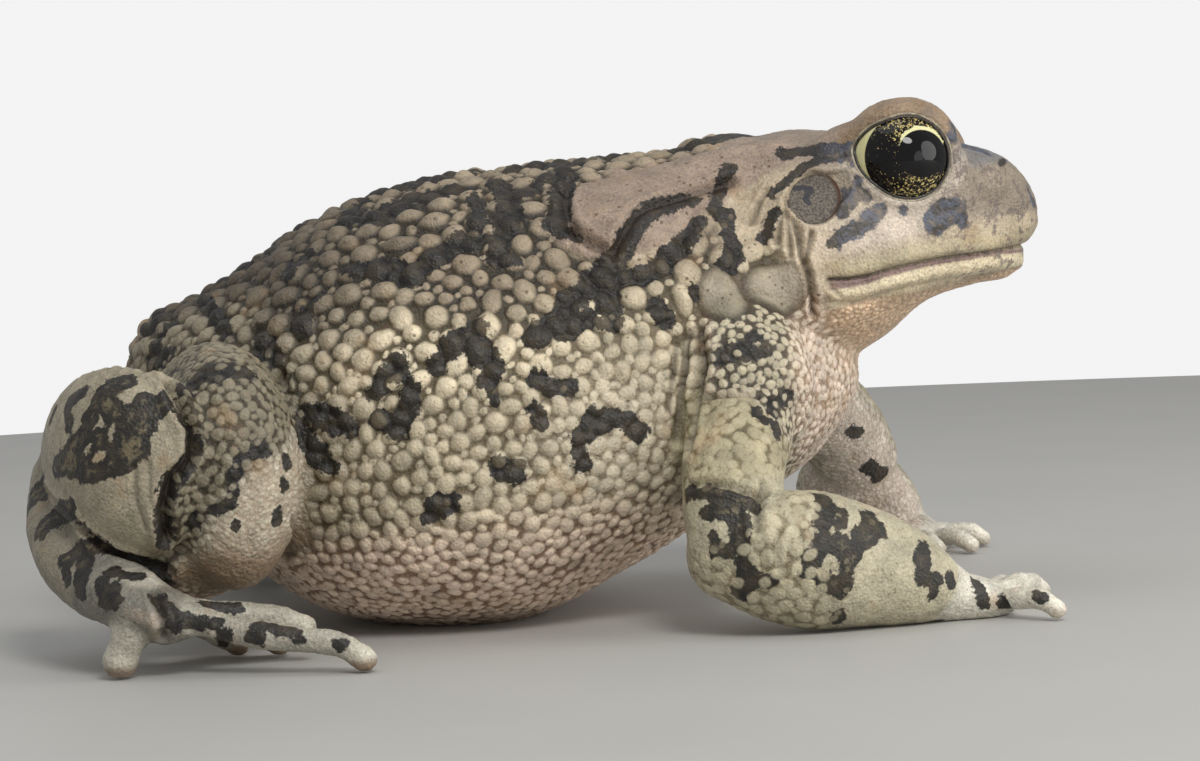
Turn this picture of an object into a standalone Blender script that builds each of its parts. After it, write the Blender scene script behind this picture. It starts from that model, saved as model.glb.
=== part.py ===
"""Raucous toad sitting, a still life-size model.

Sizes are in millimetres and are turned into metres as each mesh is made. +X points to the snout,
+Z is up and the toad's right side is -Y. The origin is on the flat under the belly.
"""

import math
import random

import bmesh
import bpy
from mathutils import Matrix, Vector
from mathutils.bvhtree import BVHTree

MM = 0.001
GAP = 0.3
SOLVER = "MANIFOLD"

# Ring sides and rings of the limbs, and the voxel that fuses the trunk and the head.
LIMB_SIDES = 12
LIMB_RINGS = 6
DIGIT_SIDES = 6
DIGIT_RINGS = 4
CAP_RINGS = 2
CAP_BLUNTNESS = 0.6
TRUNK_SIDES = 40
TRUNK_RINGS = 44
FUSE_VOXEL = 0.8
FUSE_SMOOTHING = 8
FUSE_FACTOR = 0.5
TORSO_TRIANGLES = 1300
HEAD_TRIANGLES = 1250
# Segments and rings of the round pieces.
BALL_FACES = (20, 12)
BULGE_FACES = (24, 14)
SOCKET_FACES = (16, 10)
EAR_FACES = (16, 6)
NOSTRIL_FACES = (8, 6)
LID_OPENING_SIDES = 20
# How far a swollen corner may run out, and the angle from which an edge is shaded sharp.
LARGEST_CORNER = 1.3
SHARP_ANGLE = math.radians(50)
HALF_SPACE = 200.0

# The trunk's cross-sections: x, back, height of the widest point, belly, half width.
TRUNK = (
    (-32.4, 27.8, 25.0, 22.8, 2.5),
    (-31.4, 31.2, 25.0, 19.5, 6.5),
    (-28.8, 33.8, 24.0, 15.0, 12.0),
    (-24.0, 35.7, 22.5, 10.4, 18.5),
    (-18.0, 39.0, 21.0, 5.6, 24.5),
    (-10.0, 43.8, 18.5, 0.9, 29.5),
    (0.0, 46.8, 18.0, -0.9, 32.0),
    (10.0, 47.7, 18.5, -0.6, 31.8),
    (20.0, 48.3, 20.0, 3.7, 29.0),
    (28.0, 48.8, 22.0, 8.0, 25.5),
    (36.0, 50.3, 24.0, 11.4, 21.5),
    (41.5, 46.5, 24.5, 15.0, 17.0),
    (45.2, 36.0, 24.5, 19.2, 11.0),
    (46.9, 28.5, 24.5, 22.4, 4.5),
)
TRUNK_BACK_POWER = 2.25
TRUNK_BELLY_POWER = 2.5

# The head before it turns: x, crown, lip line, throat, half width.
HEAD = (
    (33.0, 48.8, 37.0, 25.0, 15.5),
    (40.0, 50.4, 36.0, 24.0, 19.0),
    (44.0, 50.2, 35.6, 24.4, 18.8),
    (50.0, 49.3, 36.0, 27.8, 17.2),
    (55.0, 48.7, 36.3, 30.9, 14.8),
    (60.0, 47.9, 36.8, 32.6, 11.6),
    (64.0, 46.2, 37.3, 33.6, 8.0),
    (66.3, 43.6, 38.2, 35.2, 4.8),
    (67.3, 41.2, 39.6, 38.2, 1.8),
)
HEAD_CROWN_POWER = 2.3
HEAD_THROAT_POWER = 2.2
HEAD_TURN = math.radians(-8.0)
HEAD_PIVOT = Vector((38.0, 0.0, 38.0))

# The eye, its lids and the ear, on the head before it turns; y is for the left side.
EYE_CENTRE = Vector((53.5, 11.8, 46.4))
EYE_RADIUS = 5.4
LID_RADIUS = 6.45
SOCKET_SLACK = 0.15
EYE_AXIS = Vector((0.10, 1.0, 0.04)).normalized()
LID_OPENING = (4.95, 4.7)
LID_OPENING_OUT = 6.0
LID_OPENING_DEPTH = 8.0
EAR_PLACE = (44.5, 42.7)
EAR_RADIUS = 2.75
EAR_DEPTH = 1.3
EAR_SINK = 0.9
NOSTRIL = Vector((63.6, 5.6, 45.3))
NOSTRIL_RADII = (0.55, 1.2, 0.55)

# The neck plane and the mouth plane, also on the head before it turns.
NECK_POINT = Vector((41.7, 0.0, 38.0))
NECK_NORMAL = Vector((0.916, 0.0, 0.400))
MOUTH_POINT = Vector((55.0, 0.0, 34.9))
MOUTH_NORMAL = Vector((-0.139, 0.0, 0.990))
LIP_GROOVE_RADIUS = 0.55
LIP_GROOVE_POINTS = 18
LIP_GROOVE_SIDES = 5
LIP_GROOVE_BACK = 8.0
LIP_GROOVE_REACH = math.radians(100.0)

# The parotoid gland behind the eye, laid along the skin: x, z, half width, half depth. It stands this proud.
PAROTOID = (
    (19.6, 41.4, 5.0, 2.4),
    (23.0, 42.8, 6.0, 3.0),
    (27.5, 44.8, 5.0, 3.0),
    (33.0, 46.6, 3.6, 2.6),
    (38.5, 47.8, 2.4, 2.0),
)
PAROTOID_RISE = 1.3
LOOK_FROM = 80.0

# Limbs of each side as rows: x, distance from the mid plane, z, half width, half height.
ARM = {
    "right": {
        "upper_arm": ((35.0, 16.0, 24.5, 5.6, 5.6), (33.4, 23.5, 20.8, 5.6, 5.4),
                      (31.9, 30.0, 16.0, 5.1, 5.2), (31.4, 34.0, 11.5, 4.8, 5.0)),
        "forearm": ((31.2, 35.0, 8.7, 4.7, 5.4), (35.0, 35.5, 7.8, 5.6, 6.5), (39.5, 35.0, 6.9, 5.8, 6.9),
                    (44.0, 34.0, 5.9, 5.2, 6.1), (48.5, 32.8, 4.5, 4.3, 4.9), (52.0, 31.4, 2.8, 3.4, 3.0)),
        "hand": ((52.5, 31.2, 2.4, 3.2, 2.6), (55.6, 29.8, 1.8, 3.8, 2.1), (57.8, 28.8, 1.4, 3.1, 1.6)),
        "fingers": (((54.6, 28.7, 1.5), (54.2, 24.2, 1.9), (54.6, 20.6, 1.1)),
                    ((56.6, 27.7, 1.5), (58.8, 22.4, 2.1), (60.2, 18.2, 1.1)),
                    ((57.4, 28.0, 1.6), (60.4, 24.2, 2.3), (62.3, 21.2, 2.0), (63.3, 19.6, 1.1)),
                    ((57.2, 30.8, 1.7), (59.2, 33.4, 2.0), (61.2, 35.8, 2.1), (62.6, 36.4, 1.1))),
    },
    "left": {
        "upper_arm": ((37.0, 15.0, 24.5, 5.8, 5.6), (42.0, 23.0, 21.2, 5.6, 5.6),
                      (46.6, 30.5, 16.4, 5.2, 5.4), (49.4, 35.4, 11.8, 4.8, 5.2)),
        "forearm": ((46.8, 38.2, 7.6, 4.6, 5.5), (49.2, 38.8, 7.0, 5.2, 6.2), (51.4, 38.4, 6.2, 5.0, 5.6),
                    (53.4, 37.4, 4.6, 4.2, 4.5), (54.8, 36.2, 2.8, 3.4, 3.0)),
        "hand": ((55.3, 35.8, 2.4, 3.2, 2.6), (57.4, 35.0, 1.8, 3.8, 2.1), (58.8, 34.6, 1.4, 3.1, 1.6)),
        "fingers": (((56.6, 33.4, 1.5), (57.0, 29.4, 1.9), (57.8, 26.4, 1.1)),
                    ((58.0, 33.6, 1.5), (60.4, 30.4, 2.0), (62.0, 28.0, 1.1)),
                    ((58.4, 34.8, 1.6), (61.0, 35.0, 2.2), (63.0, 35.2, 2.0), (64.2, 35.3, 1.1)),
                    ((58.0, 36.0, 1.6), (59.8, 39.0, 1.9), (61.0, 41.6, 1.1))),
    },
}
LEG = {
    "right": {
        "thigh": ((-22.0, 12.0, 21.5, 6.0, 8.0), (-21.0, 20.0, 20.8, 7.2, 10.4),
                  (-18.8, 29.5, 19.3, 7.2, 11.7), (-17.6, 36.6, 18.6, 6.6, 11.6)),
        "shank": ((-23.2, 40.4, 19.4, 4.2, 8.2), (-27.0, 38.6, 20.6, 5.1, 9.1),
                  (-30.6, 33.4, 20.8, 5.0, 8.8), (-33.2, 27.0, 20.4, 4.4, 7.2),
                  (-35.0, 21.6, 19.6, 3.7, 5.4)),
        "tarsus": ((-36.4, 21.6, 17.8, 3.5, 3.9), (-36.4, 26.0, 14.0, 3.4, 3.6),
                   (-34.2, 32.6, 10.6, 3.4, 3.5), (-30.2, 38.4, 8.3, 3.5, 3.4)),
        "foot": ((-29.0, 40.0, 7.9, 3.5, 3.2), (-26.0, 42.0, 6.8, 4.0, 2.8), (-23.0, 43.0, 5.7, 4.0, 2.3)),
        "toes": (((-23.6, 40.2, 5.8), (-20.8, 35.6, 3.4), (-18.4, 31.6, 1.2)),
                 ((-22.0, 41.0, 5.6), (-17.6, 36.4, 3.6), (-14.0, 33.6, 1.3)),
                 ((-21.4, 41.6, 6.0), (-17.4, 40.4, 5.3), (-13.4, 39.0, 4.5), (-11.0, 38.4, 3.4)),
                 ((-21.4, 43.6, 5.6), (-16.4, 45.0, 4.2), (-11.0, 46.4, 3.3), (-7.0, 47.2, 2.8),
                  (-4.6, 47.8, 1.3)),
                 ((-25.0, 43.8, 5.9), (-26.8, 43.8, 4.2), (-28.6, 43.2, 1.4))),
    },
    "left": {
        "thigh": ((-22.0, 12.0, 21.5, 6.0, 8.0), (-20.4, 20.0, 20.6, 7.2, 10.4),
                  (-17.8, 29.5, 19.1, 7.2, 11.7), (-16.2, 36.2, 18.4, 6.6, 11.6)),
        "shank": ((-22.0, 40.0, 19.2, 4.2, 8.2), (-25.8, 38.6, 20.4, 5.1, 9.1),
                  (-29.6, 33.8, 20.6, 5.0, 8.8), (-32.6, 27.6, 20.2, 4.4, 7.2),
                  (-34.6, 22.2, 19.4, 3.7, 5.4)),
        "tarsus": ((-36.0, 22.4, 17.6, 3.5, 3.9), (-35.8, 26.8, 13.8, 3.4, 3.6),
                   (-33.4, 33.4, 10.4, 3.4, 3.5), (-29.1, 39.0, 8.1, 3.5, 3.4)),
        "foot": ((-27.9, 40.6, 7.7, 3.5, 3.2), (-24.9, 42.5, 6.6, 4.0, 2.8), (-21.9, 43.4, 5.5, 4.0, 2.3)),
        "toes": (((-22.5, 40.6, 5.6), (-19.6, 36.2, 3.2), (-17.2, 32.4, 1.2)),
                 ((-20.9, 41.4, 5.4), (-16.4, 37.6, 3.4), (-12.8, 35.0, 1.3)),
                 ((-20.3, 42.0, 5.6), (-15.8, 41.6, 4.6), (-11.8, 40.8, 3.6), (-9.2, 40.2, 1.2)),
                 ((-20.3, 44.0, 5.4), (-15.4, 46.4, 4.0), (-10.2, 48.8, 3.1), (-6.6, 50.4, 2.6),
                  (-4.4, 51.4, 1.3)),
                 ((-23.8, 44.4, 5.8), (-24.0, 47.4, 4.0), (-24.0, 50.0, 1.8))),
    },
}
FINGER_RADIUS = 1.15
TOE_RADII = (1.25, 1.3, 1.35, 1.5, 1.6)
TIP_SWELL = 1.0

# Warts of the back and flanks: how many, their radii, and the heights they grow between.
WART_SEED = 11
WART_TRIES = 500
WART_RADII = (1.7, 2.4)
WART_SPACING = 1.3
WART_LOWEST = 14.0
WART_ALONG = (-26.0, 32.0)
WART_AROUND = (-0.2, math.pi + 0.2)
WART_FACES = (6, 4)
WART_HEIGHT = 0.8
WART_SINK = 0.32
# Steps around and along the trunk that give the outward direction at a wart, and the search for its x.
STEP_AROUND = 0.02
STEP_ALONG = 0.5
HALVINGS = 30
# The large glands at the corner of the jaw: x, z, radius along x, radius along z.
JAW_GLANDS = ((37.0, 33.6, 3.9, 3.3), (31.8, 32.9, 2.8, 4.1), (28.5, 36.0, 2.0, 2.0), (27.8, 33.0, 1.6, 2.3))

COLOURS = {
    "skin": (0.52, 0.46, 0.36),
    "gland": (0.55, 0.46, 0.38),
    "eye": (0.02, 0.018, 0.012),
    "ear": (0.30, 0.27, 0.23),
}
ROUGHNESS = {"skin": 0.55, "gland": 0.5, "eye": 0.08, "ear": 0.6}


def clear_scene():
    for obj in list(bpy.data.objects):
        bpy.data.objects.remove(obj)


def material(name):
    made = bpy.data.materials.get(name) or bpy.data.materials.new(name)
    made.use_nodes = True
    shader = made.node_tree.nodes["Principled BSDF"]
    shader.inputs["Base Color"].default_value = (*COLOURS[name], 1.0)
    shader.inputs["Roughness"].default_value = ROUGHNESS[name]
    return made


def mirrored(side):
    """The sign of y on this side."""
    return -1.0 if side == "right" else 1.0


def turned(point):
    """A point of the head, after the head has turned towards the toad's right."""
    return HEAD_PIVOT + Matrix.Rotation(HEAD_TURN, 3, "Z") @ (point - HEAD_PIVOT)


def turned_direction(direction):
    return Matrix.Rotation(HEAD_TURN, 3, "Z") @ direction


def on_side(point, side):
    """A left-side point of the head moved to this side, before it turns."""
    return Vector((point.x, point.y * mirrored(side), point.z))


def catmull(rows, t):
    """The row at t, from 0 to 1, on a smooth curve through the rows."""
    last = len(rows) - 1
    place = min(t * last, last - 1e-9)
    i = int(place)
    u = place - i
    p0, p1, p2, p3 = (rows[min(max(k, 0), last)] for k in (i - 1, i, i + 1, i + 2))
    return [
        0.5 * (2 * b + (c - a) * u + (2 * a - 5 * b + 4 * c - d) * u * u + (3 * b - a - 3 * c + d) * u ** 3)
        for a, b, c, d in zip(p0, p1, p2, p3)
    ]


def mesh_object(name, points, faces):
    """A new object from points in millimetres."""
    mesh = bpy.data.meshes.new(name)
    mesh.from_pydata([Vector(p) * MM for p in points], [], faces)
    bm = bmesh.new()
    bm.from_mesh(mesh)
    bmesh.ops.recalc_face_normals(bm, faces=bm.faces)
    bm.to_mesh(mesh)
    bm.free()
    obj = bpy.data.objects.new(name, mesh)
    bpy.context.collection.objects.link(obj)
    return obj


def loft(name, rings):
    """A closed mesh through rings of equal length, its ends drawn to a point."""
    sides = len(rings[0])
    points = [p for ring in rings for p in ring]
    faces = []
    for k in range(len(rings) - 1):
        for j in range(sides):
            a, b = k * sides + j, k * sides + (j + 1) % sides
            faces.append((a, b, b + sides, a + sides))
    for ring, start in ((rings[0], 0), (rings[-1], (len(rings) - 1) * sides)):
        points.append(sum(ring, Vector()) / sides)
        for j in range(sides):
            faces.append((start + j, start + (j + 1) % sides, len(points) - 1))
    return mesh_object(name, points, faces)


def signed_power(value, power):
    return math.copysign(abs(value) ** power, value)


def section_point(row, angle, upper_power, lower_power):
    """A point of a body section at this angle, 0 at the left side and a quarter turn at the back."""
    x, top, middle, bottom, half_width = row
    power = upper_power if math.sin(angle) >= 0 else lower_power
    height = top - middle if math.sin(angle) >= 0 else middle - bottom
    y = half_width * signed_power(math.cos(angle), 2 / power)
    return Vector((x, y, middle + height * signed_power(math.sin(angle), 2 / power)))


def body_loft(name, rows, upper_power, lower_power):
    rings = []
    for k in range(TRUNK_RINGS + 1):
        row = catmull(rows, k / TRUNK_RINGS)
        angles = [2 * math.pi * j / TRUNK_SIDES for j in range(TRUNK_SIDES)]
        rings.append([section_point(row, a, upper_power, lower_power) for a in angles])
    return loft(name, rings)


def tube(name, rows, sides, count, up=Vector((0, 0, 1))):
    """A round-ended limb along rows of x, y, z, half width, half height."""
    rows = [tuple(float(v) for v in row) for row in rows]
    samples = [catmull(rows, k / count) for k in range(count + 1)]
    centres = [Vector(s[:3]) for s in samples]
    rings = []
    for k, sample in enumerate(samples):
        along = (centres[min(k + 1, count)] - centres[max(k - 1, 0)]).normalized()
        across = up.cross(along).normalized()
        over = along.cross(across)
        ends = []
        if k in (0, count):
            reach = -1.0 if k == 0 else 1.0
            cap = min(sample[3], sample[4])
            for step in range(CAP_RINGS, 0, -1):
                angle = 0.5 * math.pi * step / (CAP_RINGS + CAP_BLUNTNESS)
                ends.append((centres[k] + along * (reach * cap * math.sin(angle)), math.cos(angle)))
        middle = (centres[k], 1.0)
        stack = ends + [middle] if k == 0 else [middle] + ends[::-1]
        for centre, shrink in stack:
            ring = []
            for j in range(sides):
                turn = 2 * math.pi * j / sides
                ring.append(centre + across * (sample[3] * shrink * math.cos(turn))
                            + over * (sample[4] * shrink * math.sin(turn)))
            rings.append(ring)
    return loft(name, rings)


def ellipsoid(name, centre, radii, faces):
    bm = bmesh.new()
    bmesh.ops.create_uvsphere(bm, u_segments=faces[0], v_segments=faces[1], radius=1.0)
    scale = Matrix.Diagonal((*(Vector(radii) * MM), 1.0))
    bm.transform(Matrix.Translation(Vector(centre) * MM) @ scale)
    mesh = bpy.data.meshes.new(name)
    bm.to_mesh(mesh)
    bm.free()
    obj = bpy.data.objects.new(name, mesh)
    bpy.context.collection.objects.link(obj)
    return obj


def apply_modifiers(obj):
    graph = bpy.context.evaluated_depsgraph_get()
    mesh = bpy.data.meshes.new_from_object(obj.evaluated_get(graph))
    obj.modifiers.clear()
    obj.data = mesh
    return obj


def join(name, parts):
    bm = bmesh.new()
    for part in parts:
        bm.from_mesh(part.data)
        bpy.data.objects.remove(part)
    mesh = bpy.data.meshes.new(name)
    bm.to_mesh(mesh)
    bm.free()
    obj = bpy.data.objects.new(name, mesh)
    bpy.context.collection.objects.link(obj)
    return obj


def fuse(name, parts):
    """One smooth skin over overlapping parts."""
    obj = join(name, parts)
    remesh = obj.modifiers.new("fuse", "REMESH")
    remesh.mode = "VOXEL"
    remesh.voxel_size = FUSE_VOXEL * MM
    smooth = obj.modifiers.new("smooth", "SMOOTH")
    smooth.factor = FUSE_FACTOR
    smooth.iterations = FUSE_SMOOTHING
    return apply_modifiers(obj)


def thin_out(obj, triangles):
    """Fewer triangles, to about this many."""
    have = sum(len(p.vertices) - 2 for p in obj.data.polygons)
    modifier = obj.modifiers.new("fewer", "DECIMATE")
    modifier.ratio = min(1.0, triangles / have)
    return apply_modifiers(obj)


def boolean(obj, other, operation):
    modifier = obj.modifiers.new("cut", "BOOLEAN")
    modifier.operation = operation
    modifier.solver = SOLVER
    modifier.object = other
    apply_modifiers(obj)
    bpy.data.objects.remove(other)
    return obj


def copy_of(obj, name):
    made = bpy.data.objects.new(name, obj.data.copy())
    bpy.context.collection.objects.link(made)
    return made


def swollen(obj, amount):
    """A copy whose surface lies this far outside the object's own."""
    made = copy_of(obj, obj.name + "_swollen")
    bm = bmesh.new()
    bm.from_mesh(made.data)
    bm.normal_update()
    moves = [(v, v.normal * (amount * MM * min(v.calc_shell_factor(), LARGEST_CORNER))) for v in bm.verts]
    for vert, move in moves:
        vert.co += move
    bm.to_mesh(made.data)
    bm.free()
    return made


def keep_largest(obj):
    """Drops every closed surface but the largest."""
    bm = bmesh.new()
    bm.from_mesh(obj.data)
    left = set(bm.verts)
    islands = []
    while left:
        stack = [left.pop()]
        island = set(stack)
        while stack:
            for edge in stack.pop().link_edges:
                for vert in edge.verts:
                    if vert in left:
                        left.discard(vert)
                        island.add(vert)
                        stack.append(vert)
        islands.append(island)
    largest = max(islands, key=len)
    spare = [v for island in islands if island is not largest for v in island]
    bmesh.ops.delete(bm, geom=spare, context="VERTS")
    bm.to_mesh(obj.data)
    bm.free()
    return obj


def half_space(name, point, normal):
    """A large box whose one face passes through the point and looks along the normal."""
    bm = bmesh.new()
    bmesh.ops.create_cube(bm, size=HALF_SPACE * MM)
    turn = normal.to_track_quat("Z", "Y").to_matrix().to_4x4()
    centre = (point - normal.normalized() * HALF_SPACE / 2) * MM
    bm.transform(Matrix.Translation(centre) @ turn)
    mesh = bpy.data.meshes.new(name)
    bm.to_mesh(mesh)
    bm.free()
    obj = bpy.data.objects.new(name, mesh)
    bpy.context.collection.objects.link(obj)
    return obj


def keep_side(obj, point, normal):
    """Keeps what lies behind the plane, which looks along the normal."""
    return boolean(obj, half_space("plane", point, normal), "INTERSECT")


def oriented_cylinder(name, centre, axis, radii, depth, segments):
    """A cylinder of elliptic section whose middle is at the centre."""
    bm = bmesh.new()
    bmesh.ops.create_cone(bm, cap_ends=True, segments=segments, radius1=1.0, radius2=1.0, depth=1.0)
    turn = axis.to_track_quat("Z", "Y").to_matrix().to_4x4()
    scale = Matrix.Diagonal((radii[0] * MM, radii[1] * MM, depth * MM, 1.0))
    bm.transform(Matrix.Translation(Vector(centre) * MM) @ turn @ scale)
    mesh = bpy.data.meshes.new(name)
    bm.to_mesh(mesh)
    bm.free()
    obj = bpy.data.objects.new(name, mesh)
    bpy.context.collection.objects.link(obj)
    return obj


def fused_trunk():
    """The trunk, the turned head and the bulges of the eyes as one skin."""
    trunk = body_loft("trunk", TRUNK, TRUNK_BACK_POWER, TRUNK_BELLY_POWER)
    head = body_loft("skull", HEAD, HEAD_CROWN_POWER, HEAD_THROAT_POWER)
    for vert in head.data.vertices:
        vert.co = turned(vert.co / MM) * MM
    bulges = [
        ellipsoid("bulge", turned(on_side(EYE_CENTRE, side)), (LID_RADIUS,) * 3, BULGE_FACES)
        for side in ("right", "left")
    ]
    return fuse("whole", [trunk, head, *bulges])


def add_lips(head, jaw, tree):
    """Cuts one rounded groove along the mouth line into both jaws."""
    centre = turned(MOUTH_POINT - Vector((LIP_GROOVE_BACK, 0.0, 0.0)))
    normal = turned_direction(MOUTH_NORMAL)
    ahead = turned_direction(Vector((1.0, 0.0, 0.0)))
    ahead = (ahead - normal * ahead.dot(normal)).normalized()
    across = normal.cross(ahead)
    line = []
    for k in range(LIP_GROOVE_POINTS + 1):
        angle = LIP_GROOVE_REACH * (2 * k / LIP_GROOVE_POINTS - 1)
        way = ahead * math.cos(angle) + across * math.sin(angle)
        line.append(tree.ray_cast(centre, way)[0])
    rows = [(*p, LIP_GROOVE_RADIUS, LIP_GROOVE_RADIUS) for p in line]
    for piece in (head, jaw):
        boolean(piece, tube("groove", rows, LIP_GROOVE_SIDES, LIP_GROOVE_POINTS, normal), "DIFFERENCE")


def open_lids(head, side):
    """Hollows the bulge for the eyeball and opens the lids in front of it."""
    centre = turned(on_side(EYE_CENTRE, side))
    axis = turned_direction(on_side(EYE_AXIS, side))
    ball = ellipsoid("socket", centre, (EYE_RADIUS + GAP + SOCKET_SLACK,) * 3, SOCKET_FACES)
    middle = centre + axis * LID_OPENING_OUT
    opening = oriented_cylinder("opening", middle, axis, LID_OPENING, LID_OPENING_DEPTH, LID_OPENING_SIDES)
    boolean(head, ball, "DIFFERENCE")
    boolean(head, opening, "DIFFERENCE")
    keep_largest(head)


def eyeball(side):
    return ellipsoid(f"eye_{side}", turned(on_side(EYE_CENTRE, side)), (EYE_RADIUS,) * 3, BALL_FACES)


def skin_tree(obj):
    """The object's surface, in millimetres, for finding places on it."""
    points = [v.co / MM for v in obj.data.vertices]
    return BVHTree.FromPolygons(points, [p.vertices for p in obj.data.polygons])


def on_skin(tree, x, z, side, turn=False):
    """The place on this side's skin at x and z as seen from the side, and the outward direction there."""
    start = Vector((x, LOOK_FROM * mirrored(side), z))
    way = Vector((0.0, -mirrored(side), 0.0))
    if turn:
        start, way = turned(start), turned_direction(way)
    place, out = tree.ray_cast(start, way)[:2]
    return place, out


def ear_disc(tree, side):
    """The ear drum, a disc with a crowned face."""
    place, out = on_skin(tree, *EAR_PLACE, side, turn=True)
    disc = ellipsoid(f"tympanum_{side}", (0, 0, 0), (EAR_RADIUS, EAR_RADIUS, EAR_DEPTH), EAR_FACES)
    turn = out.to_track_quat("Z", "Y").to_matrix().to_4x4()
    disc.data.transform(Matrix.Translation((place - out * EAR_SINK) * MM) @ turn)
    return disc


def side_rows(rows, side):
    return [(row[0], row[1] * mirrored(side), *row[2:]) for row in rows]


def digit_rows(points, radius, side):
    """Rows of a toe or a finger, swollen at the tip."""
    rows = [(x, y, z, radius, radius) for x, y, z in points]
    x, y, z = points[-1]
    rows[-1] = (x, y, z, radius * TIP_SWELL, radius * TIP_SWELL)
    return side_rows(rows, side)


def limbs(side):
    """The side's limb pieces by name, each whole and round-ended."""
    arm, leg = ARM[side], LEG[side]
    made = {}
    for name in ("shank", "tarsus", "foot"):
        made[f"{name}_{side}"] = tube(f"{name}_{side}", side_rows(leg[name], side), LIMB_SIDES, LIMB_RINGS)
    for k, points in enumerate(leg["toes"]):
        name = f"toe_{side}_{k + 1}"
        made[name] = tube(name, digit_rows(points, TOE_RADII[k], side), DIGIT_SIDES, DIGIT_RINGS)
    made[f"thigh_{side}"] = tube(f"thigh_{side}", side_rows(leg["thigh"], side), LIMB_SIDES, LIMB_RINGS)
    for name in ("forearm", "hand"):
        made[f"{name}_{side}"] = tube(f"{name}_{side}", side_rows(arm[name], side), LIMB_SIDES, LIMB_RINGS)
    for k, points in enumerate(arm["fingers"]):
        name = f"finger_{side}_{k + 1}"
        made[name] = tube(name, digit_rows(points, FINGER_RADIUS, side), DIGIT_SIDES, DIGIT_RINGS)
    name = f"upper_arm_{side}"
    made[name] = tube(name, side_rows(arm["upper_arm"], side), LIMB_SIDES, LIMB_RINGS, Vector((1, 0, 0)))
    return made


def parotoid(tree, side):
    """The gland behind the eye, laid along the skin."""
    rows, ups = [], []
    for x, z, half_width, half_depth in PAROTOID:
        place, out = on_skin(tree, x, z, side)
        rows.append((*(place - out * (half_depth - PAROTOID_RISE)), half_width, half_depth))
        ups.append(out)
    return tube(f"parotoid_{side}", rows, LIMB_SIDES, LIMB_RINGS, sum(ups, Vector()).normalized())


def trunk_row(x):
    """The trunk's section row at this x."""
    low, high = 0.0, 1.0
    for _ in range(HALVINGS):
        middle = (low + high) / 2
        if catmull(TRUNK, middle)[0] < x:
            low = middle
        else:
            high = middle
    return catmull(TRUNK, low)


def trunk_skin(x, angle):
    """A point on the trunk's skin and the outward direction there."""
    row = trunk_row(x)
    here = section_point(row, angle, TRUNK_BACK_POWER, TRUNK_BELLY_POWER)
    round_it = section_point(row, angle + STEP_AROUND, TRUNK_BACK_POWER, TRUNK_BELLY_POWER) - here
    along = section_point(trunk_row(x + STEP_ALONG), angle, TRUNK_BACK_POWER, TRUNK_BELLY_POWER) - here
    return here, along.cross(round_it).normalized() * -1.0


def wart_places(tree, taken):
    """Warts as (place, outward direction, radius, radius).

    The jaw glands come first. The others are drawn with a fixed seed and stay clear of the boxes in taken.
    """
    draw = random.Random(WART_SEED)
    warts = []
    for side in ("right", "left"):
        for x, z, along, tall in JAW_GLANDS:
            place, out = on_skin(tree, x, z, side)
            warts.append((place, out, along, tall))
    for _ in range(WART_TRIES):
        x = draw.uniform(*WART_ALONG)
        angle = draw.uniform(*WART_AROUND)
        radius = draw.uniform(*WART_RADII)
        place, out = trunk_skin(x, angle)
        low_or_taken = place.z < WART_LOWEST or any(
            all(low[i] - radius < place[i] < high[i] + radius for i in range(3)) for low, high in taken
        )
        if low_or_taken:
            continue
        if all((place - other).length > WART_SPACING * (radius + max(a, b)) for other, _, a, b in warts):
            warts.append((place, out, radius, radius))
    return warts


def wart(place, out, along, tall):
    """A dome of few faces whose root is sunk into the skin."""
    middling = (along + tall) / 2
    dome = ellipsoid("wart", (0, 0, 0), (tall, along, WART_HEIGHT * middling), WART_FACES)
    turn = out.to_track_quat("Z", "Y").to_matrix().to_4x4()
    centre = place - out * (WART_SINK * middling)
    dome.data.transform(Matrix.Translation(centre * MM) @ turn)
    return dome


def add_warts(torso, tree, taken):
    """Fuses the warts onto the torso."""
    domes = bpy.data.collections.new("domes")
    for place, out, along, tall in wart_places(tree, taken):
        dome = wart(place, out, along, tall)
        bpy.context.collection.objects.unlink(dome)
        domes.objects.link(dome)
    modifier = torso.modifiers.new("warts", "BOOLEAN")
    modifier.operation = "UNION"
    modifier.solver = SOLVER
    modifier.operand_type = "COLLECTION"
    modifier.collection = domes
    apply_modifiers(torso)
    for dome in list(domes.objects):
        bpy.data.objects.remove(dome)
    bpy.data.collections.remove(domes)
    return keep_largest(torso)


def box_of(obj):
    corners = [v.co / MM for v in obj.data.vertices]
    low = Vector(min(c[i] for c in corners) for i in range(3))
    high = Vector(max(c[i] for c in corners) for i in range(3))
    return low, high


def boxes_meet(a, b):
    (low_a, high_a), (low_b, high_b) = box_of(a), box_of(b)
    return all(low_a[i] - GAP < high_b[i] and low_b[i] - GAP < high_a[i] for i in range(3))


def part_the_pieces(pieces):
    """Cuts each piece back from all that come before it, leaving the gap between them."""
    names = list(pieces)
    whole = {name: copy_of(pieces[name], name + "_whole") for name in names}
    for i, name in enumerate(names):
        for other in names[:i]:
            if boxes_meet(pieces[name], whole[other]):
                boolean(pieces[name], swollen(whole[other], GAP), "DIFFERENCE")
        keep_largest(pieces[name])
    for obj in whole.values():
        bpy.data.objects.remove(obj)


def stand_on_floor(pieces):
    """Trims what dips below the floor, which leaves small flats at one level."""
    for obj in pieces.values():
        if box_of(obj)[0].z < 0:
            floor = half_space("floor", Vector((0, 0, 0)), Vector((0, 0, 1)))
            boolean(obj, floor, "DIFFERENCE")
            keep_largest(obj)


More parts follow.
